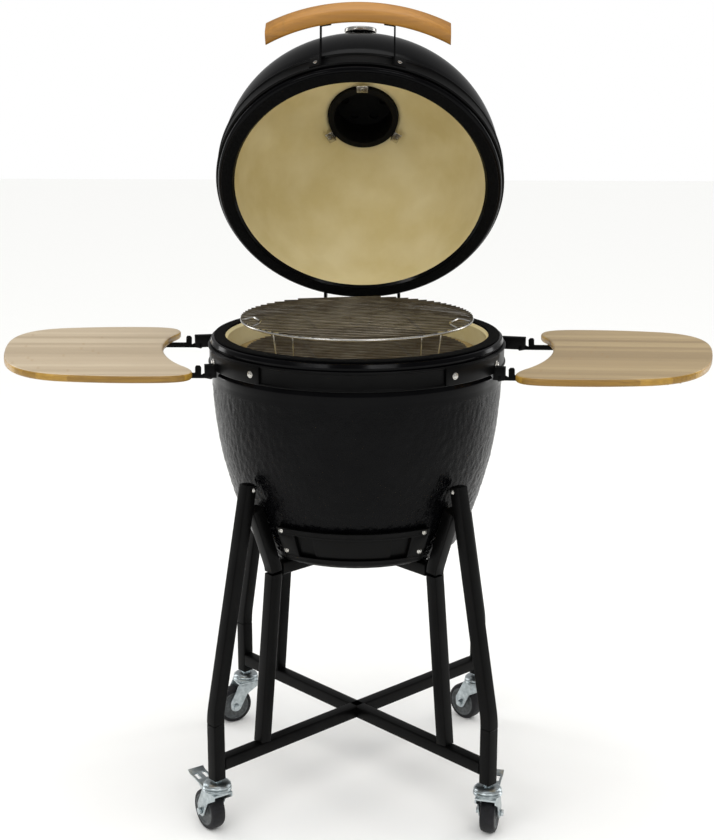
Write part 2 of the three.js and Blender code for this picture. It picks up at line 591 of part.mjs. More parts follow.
function addShelves(parent) {
  for (const [name, side] of [['left', -1], ['right', 1]]) {
    const frame = new THREE.Group();
    frame.rotation.z = -side * SHELF_TURN;
    const fold = new THREE.Group();
    fold.position.set(side * FOLD_U, BOARD_V, FOLD_Z);
    fold.rotation.y = -side * SHELF_RISE;
    frame.add(fold);
    parent.add(frame);
    const board = plate(boardShape(side), SHELF_T, 3);
    addMesh(fold, `shelf_${name}`, board, 'bamboo').position.z = BOARD_LIFT;
    addMesh(fold, `shelf_arm_${name}_front`, shelfArm(side), 'powderCoat').position.y = -ARM_SPREAD;
    addMesh(fold, `shelf_arm_${name}_rear`, shelfArm(side), 'powderCoat').position.y = ARM_SPREAD;
    const front = shelfBracket(side, BOARD_V - ARM_SPREAD, -36, -9);
    const rear = shelfBracket(side, BOARD_V + ARM_SPREAD, 43, 69);
    addMesh(frame, `shelf_bracket_${name}_front`, front, 'powderCoat');
    addMesh(frame, `shelf_bracket_${name}_rear`, rear, 'powderCoat');
  }
}

addStand(grill);
addCasters(grill);
addBowl(grill);
addLid(grill);
addHinge(grill);
addShelves(grill);

export default grill;
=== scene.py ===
"""Kamado ceramic grill on a wheeled stand, lid open and shelves up. Metres, +Z up, front towards -Y."""
import math

import bpy
from mathutils import Matrix, Vector


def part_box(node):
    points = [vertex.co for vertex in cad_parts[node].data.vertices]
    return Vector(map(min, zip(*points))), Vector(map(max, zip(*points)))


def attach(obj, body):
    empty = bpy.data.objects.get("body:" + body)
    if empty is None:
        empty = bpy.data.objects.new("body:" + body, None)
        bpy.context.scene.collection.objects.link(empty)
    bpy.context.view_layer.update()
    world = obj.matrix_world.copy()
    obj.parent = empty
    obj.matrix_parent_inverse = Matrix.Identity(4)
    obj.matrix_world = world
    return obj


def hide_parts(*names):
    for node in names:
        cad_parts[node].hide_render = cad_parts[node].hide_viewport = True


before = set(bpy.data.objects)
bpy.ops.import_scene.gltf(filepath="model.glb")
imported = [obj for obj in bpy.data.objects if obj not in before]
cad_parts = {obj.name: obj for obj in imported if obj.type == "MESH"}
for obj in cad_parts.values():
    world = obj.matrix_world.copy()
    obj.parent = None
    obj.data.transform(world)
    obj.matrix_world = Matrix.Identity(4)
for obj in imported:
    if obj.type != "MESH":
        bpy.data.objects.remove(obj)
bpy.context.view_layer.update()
BOWL_AXIS_Y = sum(corner[1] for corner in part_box("bowl_shell")) / 2  # pieces are made about it

# Driving dimensions, in millimetres unless the name says otherwise
MM = 0.001
RIM_R = 268.5  # outer radius of bowl and lid at the rim
BORE_R = 237
BAND_R = 267.6  # inner radius of both steel bands
BAND_T = 3
GAP = 0.3  # clearance between pieces that rest on each other
FELT = 3
RIM_Z = 885
BOWL_BOTTOM_Z = 490
LID_RIM_Z = 891.9  # lid rim when the lid is shut
HINGE = Vector((0, 284, 882))
LID_OPEN = math.radians(58.8)
TUBE = 24  # square tube of the stand
CASTER_H = 110
LEG_R = 346.5
WHEEL_R = 37.5
TRAIL = 30  # wheel axle behind the swivel axis
SHELF_TURN = math.radians(11.4)
SHELF_RISE = math.radians(2)
FOLD_U, FOLD_Z, BOARD_V, ARM_SPREAD, BOARD_LIFT, BOARD_T = 276, 830, 73, 137, 5, 14
CORNERS = {"front_left": 225, "front_right": 315, "rear_left": 135, "rear_right": 45}
CASTER_TRAIL = {"front_left": 126, "front_right": 77, "rear_left": 208, "rear_right": 135}
FULL_TURN = 2 * math.pi

# Where things made in a plain position go
IN_PLACE = Matrix.Identity(4)
LID_PLACE = (
    Matrix.Translation(HINGE * MM) @ Matrix.Rotation(-LID_OPEN, 4, "X") @ Matrix.Translation(-HINGE * MM)
)


def shelf_place(side):
    """Frame of a shelf's fold line: x away from the bowl, y backwards along the fold, z up."""
    turn = Matrix.Rotation(-side * SHELF_TURN, 4, "Z")
    place = Matrix.Translation(Vector((side * FOLD_U, BOARD_V, FOLD_Z)) * MM)
    return turn @ place @ Matrix.Rotation(-side * SHELF_RISE, 4, "Y")


def caster_place(corner):
    """Frame of a caster: its swivel axis, with the wheel trailing along x."""
    reach = LEG_R / math.sqrt(2)
    spot = (-reach if "left" in corner else reach, -reach if "front" in corner else reach, 0)
    return Matrix.Translation(Vector(spot) * MM) @ Matrix.Rotation(math.radians(CASTER_TRAIL[corner]), 4, "Z")


# ---------------------------------------------------------------- materials
def linear(code):
    """sRGB hex to a linear colour with alpha."""
    parts = [int(code[i : i + 2], 16) / 255 for i in (1, 3, 5)]
    return [c / 12.92 if c <= 0.04045 else ((c + 0.055) / 1.055) ** 2.4 for c in parts] + [1.0]


def add(tree, kind, inputs=None, stops=None, **settings):
    """Adds a node with its settings; an input is a value or another node's socket."""
    node = tree.nodes.new(kind)
    for key, value in settings.items():
        setattr(node, key, value)
    for key, value in (inputs or {}).items():
        if isinstance(value, bpy.types.NodeSocket):
            tree.links.new(value, node.inputs[key])
        else:
            node.inputs[key].default_value = value
    for index, (position, code) in enumerate(stops or []):
        if index > 1:
            node.color_ramp.elements.new(position)
        node.color_ramp.elements[index].position = position
        node.color_ramp.elements[index].color = linear(code)
    return node


def new_material(name):
    """An empty material and its tree, coordinates and shader."""
    material = bpy.data.materials.new(name)
    material.use_nodes = True
    tree = material.node_tree
    tree.nodes.clear()
    place = add(tree, "ShaderNodeTexCoord").outputs["Object"]
    shader = add(tree, "ShaderNodeBsdfPrincipled")
    add(tree, "ShaderNodeOutputMaterial", {"Surface": shader.outputs[0]})
    return material, tree, place, shader


def set_inputs(shader, **values):
    """Sets the shader's own sockets; underscores stand for spaces."""
    for key, value in values.items():
        shader.inputs[key.replace("_", " ")].default_value = value


def rough_bump(tree, shader, place, size_mm, depth_mm, low, high, detail=3.0):
    """Noise of a real grain size drives the relief and a little roughness."""
    noise = add(tree, "ShaderNodeTexNoise", {"Vector": place, "Scale": 1 / (size_mm * MM), "Detail": detail})
    spread = add(tree, "ShaderNodeMapRange", {"Value": noise.outputs[0], "To Min": low, "To Max": high})
    tree.links.new(spread.outputs[0], shader.inputs["Roughness"])
    relief = {"Height": noise.outputs[0], "Distance": depth_mm * MM, "Strength": 1.0}
    tree.links.new(add(tree, "ShaderNodeBump", relief).outputs[0], shader.inputs["Normal"])


def mottle(tree, shader, place, size_mm, dark, light):
    """Uneven colour in soft patches of a real size."""
    noise = add(tree, "ShaderNodeTexNoise", {"Vector": place, "Scale": 1 / (size_mm * MM), "Detail": 4.0})
    stops = [(0.35, dark), (0.68, light)]
    ramp = add(tree, "ShaderNodeValToRGB", {"Fac": noise.outputs[0]}, stops=stops)
    tree.links.new(ramp.outputs[0], shader.inputs["Base Color"])


def coat(name, patch_mm, dark, light, grain_mm, depth_mm, low, high, detail=3.0, **values):
    """A finish of patches between two tones over a fine relief; low and high bound its roughness."""
    material, tree, place, shader = new_material(name)
    set_inputs(shader, **values)
    mottle(tree, shader, place, patch_mm, dark, light)
    rough_bump(tree, shader, place, grain_mm, depth_mm, low, high, detail)
    return material


def bamboo(name, turn, face_codes, strip_mm=21):
    """Laminated moso bamboo under oil: flat strips side by side, fine fibre and node bars across."""
    material, tree, place, shader = new_material(name)
    set_inputs(shader, IOR=1.48)
    flat = add(tree, "ShaderNodeMapping", {"Vector": place, "Rotation": (0, 0, turn)}).outputs[0]
    axes = add(tree, "ShaderNodeSeparateXYZ", {"Vector": flat})
    strips = add(tree, "ShaderNodeMath", {0: axes.outputs["Y"], 1: 1 / (strip_mm * MM)}, operation="MULTIPLY")
    number = add(tree, "ShaderNodeMath", {0: strips.outputs[0]}, operation="FLOOR")
    tone = add(tree, "ShaderNodeTexWhiteNoise", {"W": number.outputs[0]}, noise_dimensions="1D")
    stretch = {"Vector": flat, "Scale": (5, 260, 260)}
    fibre_place = add(tree, "ShaderNodeMapping", stretch).outputs[0]
    fibre = add(tree, "ShaderNodeTexNoise", {"Vector": fibre_place, "Scale": 1.0, "Detail": 5.0})
    both = add(tree, "ShaderNodeMath", {0: tone.outputs[0], 1: fibre.outputs[0]}, operation="ADD")
    half = add(tree, "ShaderNodeMath", {0: both.outputs[0], 1: 0.5}, operation="MULTIPLY")
    stops = [(0.2, face_codes[0]), (0.55, face_codes[1]), (0.85, face_codes[2])]
    colour = add(tree, "ShaderNodeValToRGB", {"Fac": half.outputs[0]}, stops=stops)
    # node bars: each strip has its own start, about 240 mm apart
    shift = add(tree, "ShaderNodeMath", {0: tone.outputs[0], 1: 0.24, 2: axes.outputs["X"]},
                operation="MULTIPLY_ADD")
    wave = add(tree, "ShaderNodeMath", {0: shift.outputs[0], 1: 0.24}, operation="PINGPONG")
    bar = add(tree, "ShaderNodeMapRange", {"Value": wave.outputs[0], "From Max": 0.0035, "To Min": 0.25,
                                           "To Max": 0.0})
    knot = {0: bar.outputs[0], 6: colour.outputs[0], 7: linear("#8E6A34")}
    mixed = add(tree, "ShaderNodeMix", knot, data_type="RGBA")
    edge = add(tree, "ShaderNodeMath", {0: strips.outputs[0]}, operation="FRACT")
    seam = add(tree, "ShaderNodeMapRange", {"Value": edge.outputs[0], "From Max": 0.03, "To Min": 0.35,
                                            "To Max": 0.0})
    lined = add(tree, "ShaderNodeMix", {0: seam.outputs[0], 6: mixed.outputs[2], 7: linear("#9C7B48")},
                data_type="RGBA")
    tree.links.new(lined.outputs[2], shader.inputs["Base Color"])
    spread = add(tree, "ShaderNodeMapRange", {"Value": fibre.outputs[0], "To Min": 0.3, "To Max": 0.5})
    tree.links.new(spread.outputs[0], shader.inputs["Roughness"])
    relief = {"Height": fibre.outputs[0], "Distance": 0.08 * MM}
    tree.links.new(add(tree, "ShaderNodeBump", relief).outputs[0], shader.inputs["Normal"])
    return material


GLOSS = {"IOR": 1.52, "Specular_IOR_Level": 0.07}
METAL = {"Metallic": 1.0}
# Poured black stoneware glaze, wet over a faint orange peel, and the same run thin over pebbled clay
GLAZE = coat("black_glaze", 60, "#020203", "#050506", 14, 0.05, 0.08, 0.2, **GLOSS)
PEBBLED_GLAZE = coat("pebbled_glaze", 60, "#020203", "#060607", 4, 0.5, 0.2, 0.34, 2.0, **GLOSS)
# Dry cream bisque of the shell, and the coarser refractory clay of the fire parts in a darker tone that is
# partly the clay's own and partly painted shade inside the bowl
CLAY = coat("raw_clay", 90, "#D9C994", "#E6D9AD", 1.6, 0.12, 0.82, 0.96)
SHADED_FIRE_CLAY = coat("fire_clay", 35, "#7C683F", "#9C8757", 2.5, 0.25, 0.85, 0.98)
# Pressed felt with a fuzzy skin, and satin powder coat with a fine even pebble
FELT_BLACK = coat("black_felt", 4, "#020202", "#090909", 1.2, 0.5, 0.9, 1.0, 6.0, Specular_IOR_Level=0.1)
POWDER = coat("powder_coat", 45, "#030303", "#070707", 1.1, 0.04, 0.26, 0.4, IOR=1.5, Specular_IOR_Level=0.08)
# Bright stainless, grate wire of the same steel darkened to a brown-grey as painted shade under the lid, and
# cloudy blue-grey zinc plate
STEEL = coat("stainless_304", 60, "#B4B1AA", "#CFCDC8", 0.9, 0.004, 0.2, 0.3, **METAL)
SHADED_GRATE_STEEL = coat("grate_wire_painted_shade", 40, "#5A5347", "#7E776A", 0.9, 0.004, 0.24, 0.36, **METAL)
ZINC = coat("zinc_plate", 9, "#A9B3B6", "#CBD3D6", 3, 0.04, 0.22, 0.42, **METAL)
# Painted cast iron with a sand-mould skin, polyurethane tread and moulded nylon wheel core
IRON = coat("cast_iron", 12, "#040404", "#0A0A0A", 1.3, 0.18, 0.6, 0.8, Specular_IOR_Level=0.15)
TYRE = coat("tyre_rubber", 8, "#0B0B0E", "#17171B", 2, 0.05, 0.45, 0.7, Specular_IOR_Level=0.3)
NYLON = coat("nylon_hub", 6, "#3A3D3E", "#55595A", 1.2, 0.03, 0.4, 0.55)
# Printed dial and its ink
DIAL_WHITE = coat("dial_face", 15, "#DADAD4", "#E8E8E2", 1, 0.01, 0.35, 0.45)
DIAL_INK = coat("dial_print", 3, "#101010", "#1A1A1A", 0.8, 0.01, 0.5, 0.6)
# Shelf tops: the same bamboo on both shelves, painted lighter and greyer on the left and darker on the right
# as painted light and shade.
LIT_AND_SHADED_TOP_TONES = {-1: ("#A39278", "#B3A288", "#BFB096"), 1: ("#8B7757", "#9C8764", "#AC9872")}
EDGE_TONES = ("#7A5A22", "#A07B30", "#BE9640")
HANDLE_TONES = ("#845A22", "#A5732E", "#BC883C")
BOARD_BAMBOO_PAINTED_LIGHT = {side: bamboo(f"bamboo_top_painted_light_{side}", side * SHELF_TURN, LIT_AND_SHADED_TOP_TONES[side]) for side in (-1, 1)}
EDGE_BAMBOO = {side: bamboo(f"bamboo_edge_{side}", side * SHELF_TURN, EDGE_TONES) for side in (-1, 1)}
HANDLE_BAMBOO = bamboo("bamboo_handle", 0, HANDLE_TONES, 12)


# ---------------------------------------------------------------- modelling by hand
def select_none():
    bpy.ops.object.select_all(action="DESELECT")


def select_only(*pieces):
    select_none()
    for piece in pieces:
        piece.select_set(True)
    bpy.context.view_layer.objects.active = pieces[-1]


def begin(name, point):
    """Starts a piece as one vertex in edit mode."""
    select_none()
    bpy.ops.mesh.primitive_plane_add(size=MM)
    piece = bpy.context.object
    piece.name = piece.data.name = name
    bpy.ops.object.mode_set(mode="EDIT")
    bpy.ops.mesh.merge(type="CENTER")
    bpy.ops.transform.translate(value=Vector(point) * MM)
    return piece


def draw_on(points):
    """Extrudes the vertex in hand along a line of points."""
    for here, there in zip(points, points[1:]):
        step = (Vector(there) - Vector(here)) * MM
        bpy.ops.mesh.extrude_vertices_move(TRANSFORM_OT_translate={"value": step})


def close_up():
    """Ends an edit: doubles merged, faces outwards, back to object mode."""
    bpy.ops.mesh.select_all(action="SELECT")
    bpy.ops.mesh.remove_doubles(threshold=0.005 * MM)
    bpy.ops.mesh.normals_make_consistent(inside=False)
    bpy.ops.object.mode_set(mode="OBJECT")


def apply(piece, kind, **settings):
    """Adds a modifier and applies it."""
    select_only(piece)
    modifier = piece.modifiers.new("step", kind)
    for key, value in settings.items():
        setattr(modifier, key, value)
    bpy.ops.object.modifier_apply(modifier=modifier.name)


def soften(piece, width_mm, segments=2, angle=35):
    """Rounds the sharp edges and shades the rest smooth."""
    if width_mm:
        limit = math.radians(angle)
        apply(piece, "BEVEL", width=width_mm * MM, segments=segments, limit_method="ANGLE", angle_limit=limit)
    select_only(piece)
    bpy.ops.object.shade_smooth_by_angle(angle=math.radians(angle))


def turned(name, profile, steps=96, soft=0.8, sweep=FULL_TURN, start=0.0, closed=True):
    """A profile of (radius, height) points turned about z; closed profiles join their ends."""
    line = [(r * math.cos(start), r * math.sin(start), z) for r, z in profile]
    if closed:
        line.append(line[0])
    piece = begin(name, line[0])
    draw_on(line)
    bpy.ops.mesh.select_all(action="SELECT")
    bpy.ops.mesh.remove_doubles(threshold=0.005 * MM)
    if sweep < FULL_TURN:
        bpy.ops.mesh.edge_face_add()
    bpy.ops.mesh.spin(steps=steps, angle=-sweep, center=(0, 0, 0), axis=(0, 0, 1))
    close_up()
    soften(piece, soft)
    return piece


def cut_out(name, outline, depth, soft=0.8):
    """A flat outline in x and y given a thickness upwards."""
    line = [(x, y, 0) for x, y in outline]
    piece = begin(name, line[0])
    draw_on(line)
    bpy.ops.mesh.select_all(action="SELECT")
    bpy.ops.mesh.edge_face_add()
    bpy.ops.mesh.extrude_region_move(TRANSFORM_OT_translate={"value": (0, 0, depth * MM)})
    close_up()
    soften(piece, soft)
    return piece


def bar_of(name, start, end, radius, sides=12, soft=0.0):
    """A round bar between two points."""
    a, b = Vector(start) * MM, Vector(end) * MM
    turn = (b - a).to_track_quat("Z", "Y").to_euler()
    select_none()
    bpy.ops.mesh.primitive_cylinder_add(
        vertices=sides, radius=radius * MM, depth=(b - a).length, location=(a + b) / 2, rotation=turn
    )
    piece = bpy.context.object
    piece.name = piece.data.name = name
    bpy.ops.object.transform_apply(location=True, rotation=True, scale=True)
    soften(piece, soft)
    return piece


def block(name, low, high, soft=0.8):
    """A box between two corners with softened edges."""
    low, high = Vector(low) * MM, Vector(high) * MM
    select_none()
    bpy.ops.mesh.primitive_cube_add(size=1, location=(low + high) / 2)
    piece = bpy.context.object
    piece.name = piece.data.name = name
    piece.scale = high - low
    bpy.ops.object.transform_apply(location=True, rotation=True, scale=True)
    soften(piece, soft)
    return piece


def curve_through(name, points, dimensions="3D", cyclic=False):
    """A curve object of straight runs through points."""
    curve = bpy.data.curves.new(name, "CURVE")
    curve.dimensions = dimensions
    spline = curve.splines.new("POLY")
    spline.points.add(len(points) - 1)
    for spot, point in zip(spline.points, points):
        spot.co = (*(Vector(point) * MM), 1)
    spline.use_cyclic_u = cyclic
    piece = bpy.data.objects.new(name, curve)
    bpy.context.collection.objects.link(piece)
    return piece


def meshed(piece, name, angle):
    """Turns a curve with a section into a closed mesh."""
    select_only(piece)
    bpy.ops.object.convert(target="MESH")
    piece = bpy.context.object
    piece.name = piece.data.name = name
    bpy.ops.object.mode_set(mode="EDIT")
    close_up()
    soften(piece, 0, angle=angle)
    return piece


def wire(name, points, radius, sides=8, cyclic=False):
    """A round wire through points."""
    piece = curve_through(name, points, cyclic=cyclic)
    piece.data.bevel_depth = radius * MM
    piece.data.bevel_resolution = max(0, sides // 4 - 1)
    piece.data.use_fill_caps = True
    return meshed(piece, name, 50)


def square_tube(name, points, size, corner=3):
    """A square tube with rounded corners through points."""
    ring = [(x, y, 0) for x, y in rounded_box(size, size, corner, 3)]
    holder = curve_through(name + "_section", ring, "2D", cyclic=True)
    route = curve_through(name, points)
    route.data.bevel_mode = "OBJECT"
    route.data.bevel_object = holder
    route.data.use_fill_caps = True
    route.data.twist_mode = "Z_UP"
    piece = meshed(route, name, 35)
    bpy.data.objects.remove(holder)
    return piece


def joined(name, pieces):
    """Several shapes welded into one piece."""
    select_only(*pieces)
    bpy.ops.object.join()
    piece = bpy.context.object
    piece.name = piece.data.name = name
    return piece


def drilled(piece, cutters):
    """Takes cutters out of a piece."""
    for cutter in cutters:
        apply(piece, "BOOLEAN", operation="DIFFERENCE", object=cutter, solver="EXACT")
        bpy.data.objects.remove(cutter)
    soften(piece, 0)
    return piece


def moved(piece, place):
    """Puts a piece in its place and leaves its object at the origin."""
    piece.matrix_world = place
    select_only(piece)
    bpy.ops.object.transform_apply(location=True, rotation=True, scale=True)
    return piece


def copied(piece, name, place=IN_PLACE):
    select_only(piece)
    bpy.ops.object.duplicate()
    twin = bpy.context.object
    twin.name = twin.data.name = name
    return moved(twin, place)


def finished(piece, body, slot, material, *nodes):
    """Gives a piece its finish, its body and the nodes that it stands for."""
    if not piece.data.materials:
        piece.data.materials.append(material)
    moved(piece, Matrix.Translation((0, BOWL_AXIS_Y, 0)))
    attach(piece, body)
    if nodes:
        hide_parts(*nodes)
    return piece


def flowing(points, steps):
    """A smooth line through points, with extra points between them."""
    line = []
    ends = [points[0], *points, points[-1]]
    for p0, p1, p2, p3 in zip(ends, ends[1:], ends[2:], ends[3:]):
        for i in range(steps):
            t = i / steps
            line.append(tuple(
                0.5 * (2 * b + (c - a) * t + (2 * a - 5 * b + 4 * c - d) * t**2
                       + (3 * b - a - 3 * c + d) * t**3)
                for a, b, c, d in zip(p0, p1, p2, p3)
            ))
    return [*line, points[-1]]


def bezier(p0, p1, p2, p3, steps):
    line = []
    for i in range(steps):
        t = i / steps
        weights = ((1 - t) ** 3, 3 * t * (1 - t) ** 2, 3 * t * t * (1 - t), t**3)
        line.append(tuple(sum(w * p[k] for w, p in zip(weights, (p0, p1, p2, p3))) for k in range(2)))
    return line


def superellipse(radius, height, base, power, count, start, end):
    line = []
    for i in range(count + 1):
        angle = start + (end - start) * i / count
        line.append((
            radius * math.cos(angle) ** (2 / power),
            base + (height - base) * math.sin(angle) ** (2 / power),
        ))
    return line


def rounded_box(width, height, corner, steps, cx=0.0, cy=0.0):
    """Outline of a rectangle with round corners."""
    line = []
    for quarter, (sx, sy) in enumerate(((1, 1), (-1, 1), (-1, -1), (1, -1))):
        for i in range(steps + 1):
            angle = math.pi / 2 * (quarter + i / steps)
            x = sx * (width / 2 - corner) + corner * math.cos(angle)
            y = sy * (height / 2 - corner) + corner * math.sin(angle)
            line.append((cx + x, cy + y))
    return line


def bolt(name, spot, out, radius=5.5, head=3.2):
    """A domed bolt head on its washer, pointing along out; spot is where it meets the part."""
    washer = [(0, 0), (radius * 1.35, 0), (radius * 1.35, 1.1), (radius, 1.1)]
    top = [(radius, head * 0.75), (radius * 0.75, head + 0.6), (0, head + 1.0)]
    piece = turned(name, washer + top, 24, 0.3, closed=False)
    turn = Vector(out).to_track_quat("Z", "Y").to_matrix().to_4x4()
    return moved(piece, Matrix.Translation(Vector(spot) * MM) @ turn)


def round_about(radius, degrees, z):
    """Point and outward direction on a circle round the z axis; -90 is the front."""
    angle = math.radians(degrees)
    out = Vector((math.cos(angle), math.sin(angle), 0))
    return out * radius + Vector((0, 0, z)), out


# ---------------------------------------------------------------- bowl
BOWL_FLANK = [(184, 494), (195, 506), (211, 540), (226, 579), (239, 622), (252, 675), (262, 742),
              (267.3, 815)]
PEBBLE_TOP_Z, PEBBLE_FADE = 802, 6
PEBBLE_MM, PEBBLE_DEPTH = 9, 1.7


def bowl_radius(z):
    """Radius of the bowl's flank at a height."""
    for (r0, z0), (r1, z1) in zip(BOWL_FLANK, BOWL_FLANK[1:]):
        if z <= z1:
            return r0 + (r1 - r0) * (z - z0) / (z1 - z0)
    return BOWL_FLANK[-1][0]


def make_bowl():
    """Glazed shell with a smooth collar above a pebbled flank, bare clay inside."""
    flank = flowing(BOWL_FLANK, 14)
    collar = [(269.5, 826), (269.5, 829), (BAND_R - 0.3, 834), (BAND_R - 0.3, 873), (RIM_R, 877),
              (266.5, 883)]
    inside = flowing([(BORE_R, 880), (235, 800), (225, 705), (208, 630), (192, 575), (172, 532), (150, 520)],
                     4)
    profile = [(0, 490), (60, 490), (120, 490), (168, 490), *flank, *collar, (262, 885), (241, 885), *inside,
               (0, 520)]
    bowl = turned("bowl_shell_glazed", profile, 540, 0, closed=False)
    skin = bowl.vertex_groups.new(name="pebbled")
    for vertex in bowl.data.vertices:
        x, y, z = vertex.co / MM
        if math.hypot(x, y) > bowl_radius(z) - 3 and 496 < z < PEBBLE_TOP_Z:
            skin.add([vertex.index], min(1, (PEBBLE_TOP_Z - z) / PEBBLE_FADE), "REPLACE")
    pebbles = bpy.data.textures.new("pebbles", "VORONOI")
    pebbles.noise_scale = PEBBLE_MM * MM
    apply(bowl, "DISPLACE", texture=pebbles, strength=-PEBBLE_DEPTH * MM, mid_level=0.4,
          vertex_group="pebbled")
    for material in (GLAZE, CLAY, PEBBLED_GLAZE):
        bowl.data.materials.append(material)
    for face in bowl.data.polygons:
        centre = face.center / MM
        across = math.hypot(centre.x, centre.y)
        if across < bowl_radius(centre.z) - 12 and 500 < centre.z < 884.5:
            face.material_index = 1
        elif 496 < centre.z < PEBBLE_TOP_Z:
            face.material_index = 2
    finished(bowl, "stand_and_bowl", "black_glaze", GLAZE, "bowl_shell")


def make_band(name, z0, z1, place, body, node):
    """Pressed steel clamp band: flat wall with rolled lips above and below."""
    r0, r1 = BAND_R, BAND_R + BAND_T
    lip = [(r1, z0 + 5), (r1 + 2.2, z0 + 3.6), (r1 + 2.4, z0 + 1.4), (r1 + 0.6, z0), (r0, z0)]
    top = [(r0, z1), (r1 + 0.6, z1), (r1 + 2.4, z1 - 1.4), (r1 + 2.2, z1 - 3.6), (r1, z1 - 5)]
    band = moved(turned(name, lip + top, 160, 0.4), place)
    finished(band, body, "black_powder_coat", POWDER, node)


def make_felt(name, z0, z1, place, body, node):
    """Felt seal, squashed round at its edges."""
    profile = [(242, z0), (261, z0), (262, (z0 + z1) / 2), (261, z1), (242, z1), (241, (z0 + z1) / 2)]
    felt = moved(turned(name, profile, 200, 0.6), place)
    finished(felt, body, "felt", FELT_BLACK, node)


def make_fire_parts():
    """Fire box with its air opening and holes, and the ring above it."""
    outside = flowing([(150, 520.4), (160, 530), (175, 560), (189, 610), (199, 665), (203, 716)], 5)
    inside = flowing([(180, 716), (178, 660), (166, 600), (150, 556)], 5)
    fire_box = turned("fire_box_clay", [(50, 520.4), *outside, *inside, (50, 556)], 96, 1.5)
    airway = block("airway", (-55, -200, 524), (55, -110, 550), 0)
    holes = [bar_of("hole", (0, 0, 640), (260 * math.cos(a), 260 * math.sin(a), 640), 9, 16)
             for a in (math.radians(30 + 60 * i) for i in range(6))]
    drilled(fire_box, [airway, *holes])
    # The fire clay here and on the ring below is darkened partly as painted shade inside the bowl.
    finished(fire_box, "stand_and_bowl", "fire_clay", SHADED_FIRE_CLAY, "fire_box")
    ring = flowing([(202, 716.3), (214, 735), (226, 790), (229, 850)], 5)
    back = flowing([(196, 850), (192, 790), (181, 716.3)], 5)
    fire_ring = turned("fire_ring_clay", [*ring, *back], 128, 1.5)
    finished(fire_ring, "stand_and_bowl", "fire_clay", SHADED_FIRE_CLAY, "fire_ring")


GRATE_SLANT = math.radians(12)
GRATE_BARS = 28
MAIN_GRATE_R, MAIN_GRATE_Z = 205, 853.6
UPPER_GRATE_R, UPPER_GRATE_Z = 214, 914
GRATE_FOOT_DEG = (-125.5, -50, 90)


def grate(name, radius, ring_z):
    """Stainless wire grate: a ring, and the bars on it with two cross wires below; the ring is given bright
    stainless as a painted highlight and the bars a darker wire as painted shade.
    """
    loop = [(radius * math.cos(a), radius * math.sin(a), ring_z)
            for a in (i * FULL_TURN / 96 for i in range(96))]
    inner = [(x * (radius - 3) / radius, y * (radius - 3) / radius, z) for x, y, z in loop]
    ring = wire(name + "_ring", inner, 2.6, 12, cyclic=True)
    pieces = []
    for i in range(GRATE_BARS):
        y = radius * ((i + 0.5) / GRATE_BARS * 1.9 - 0.95)
        reach = math.sqrt((radius - 1.5) ** 2 - y * y)
        pieces.append(bar_of("bar", (-reach, y, ring_z + 3.7), (reach, y, ring_z + 3.7), 1.35, 10, 0.4))
    for x in (-radius * 0.42, radius * 0.42):
        reach = math.sqrt((radius - 3) ** 2 - x * x)
        pieces.append(bar_of("cross", (x, -reach, ring_z), (x, reach, ring_z), 2.4, 10, 0.5))
    return ring, moved(joined(name, pieces), Matrix.Rotation(GRATE_SLANT, 4, "Z"))


def make_grates():
    ring, bars = grate("main_grate_bars", MAIN_GRATE_R, MAIN_GRATE_Z)
    # The ring in bright stainless is a painted highlight against the darker bars of the same steel.
    finished(ring, "main_grate", "stainless", STEEL)
    # The bars get a darker wire than the ring of the same steel: painted shade under the lid.
    finished(bars, "main_grate", "stainless", SHADED_GRATE_STEEL, "main_grate")
    ring, bars = grate("upper_grate_bars", UPPER_GRATE_R, UPPER_GRATE_Z)
    # Darker bar wire as painted shade, as on the main grate.
    finished(bars, "upper_grate", "stainless", SHADED_GRATE_STEEL)
    legs = [ring]
    for degrees in GRATE_FOOT_DEG:
        side = [round_about(r, degrees + turn, z)[0]
                for r, turn, z in ((211, -6, 914), (206, -5.6, 875), (205, -5, 864), (204, -4, 861.4),
                                   (204, 4, 861.4), (205, 5, 864), (206, 5.6, 875), (211, 6, 914))]
        legs.append(wire("leg", side, 1.4, 10))
    for degrees in (-158, -22):
        grip = [round_about(r, degrees + turn, z)[0]
                for r, turn, z in ((211, -9, 917), (196, -8, 921), (190, -5, 923), (190, 5, 923),
                                   (196, 8, 921), (211, 9, 917))]
        legs.append(wire("grip", grip, 2.2, 10))
    # Ring, legs and grips in bright stainless: a painted highlight against the darker bars of the same steel.
    finished(joined("upper_grate_ring", legs), "upper_grate", "stainless", STEEL, "upper_grate")


def make_charcoal_grate():
    """Cast disc with long slots."""
    plate_of = turned("charcoal_grate_cast", [(0, 556.3), (145, 556.3), (145, 562), (142, 564), (0, 564)],
                      72, 0.6, closed=False)
    slots = []
    for i in range(-4, 5):
        reach = math.sqrt(128**2 - (i * 27) ** 2)
        for side in (-1, 1):
            slots.append(block("slot", (min(side * 9, side * reach), i * 27 - 7, 550),
                               (max(side * 9, side * reach), i * 27 + 7, 570), 0))
    drilled(plate_of, [joined("slots", slots)])
    finished(plate_of, "charcoal_grate", "cast_iron", IRON, "charcoal_grate")


def leaf(name, clearance, thickness, z0, z1, half_deg, steps=40, soft=0.8, middle_deg=-90):
    """A strip that follows the bowl's flank, between two heights and two angles."""
    heights = [z0 + (z1 - z0) * i / 4 for i in range(5)]
    inner = [(bowl_radius(z) + clearance, z) for z in heights]
    outer = [(bowl_radius(z) + clearance + thickness, z) for z in reversed(heights)]
    start = math.radians(middle_deg - half_deg)
    return turned(name, inner + outer, steps, soft, math.radians(2 * half_deg), start)


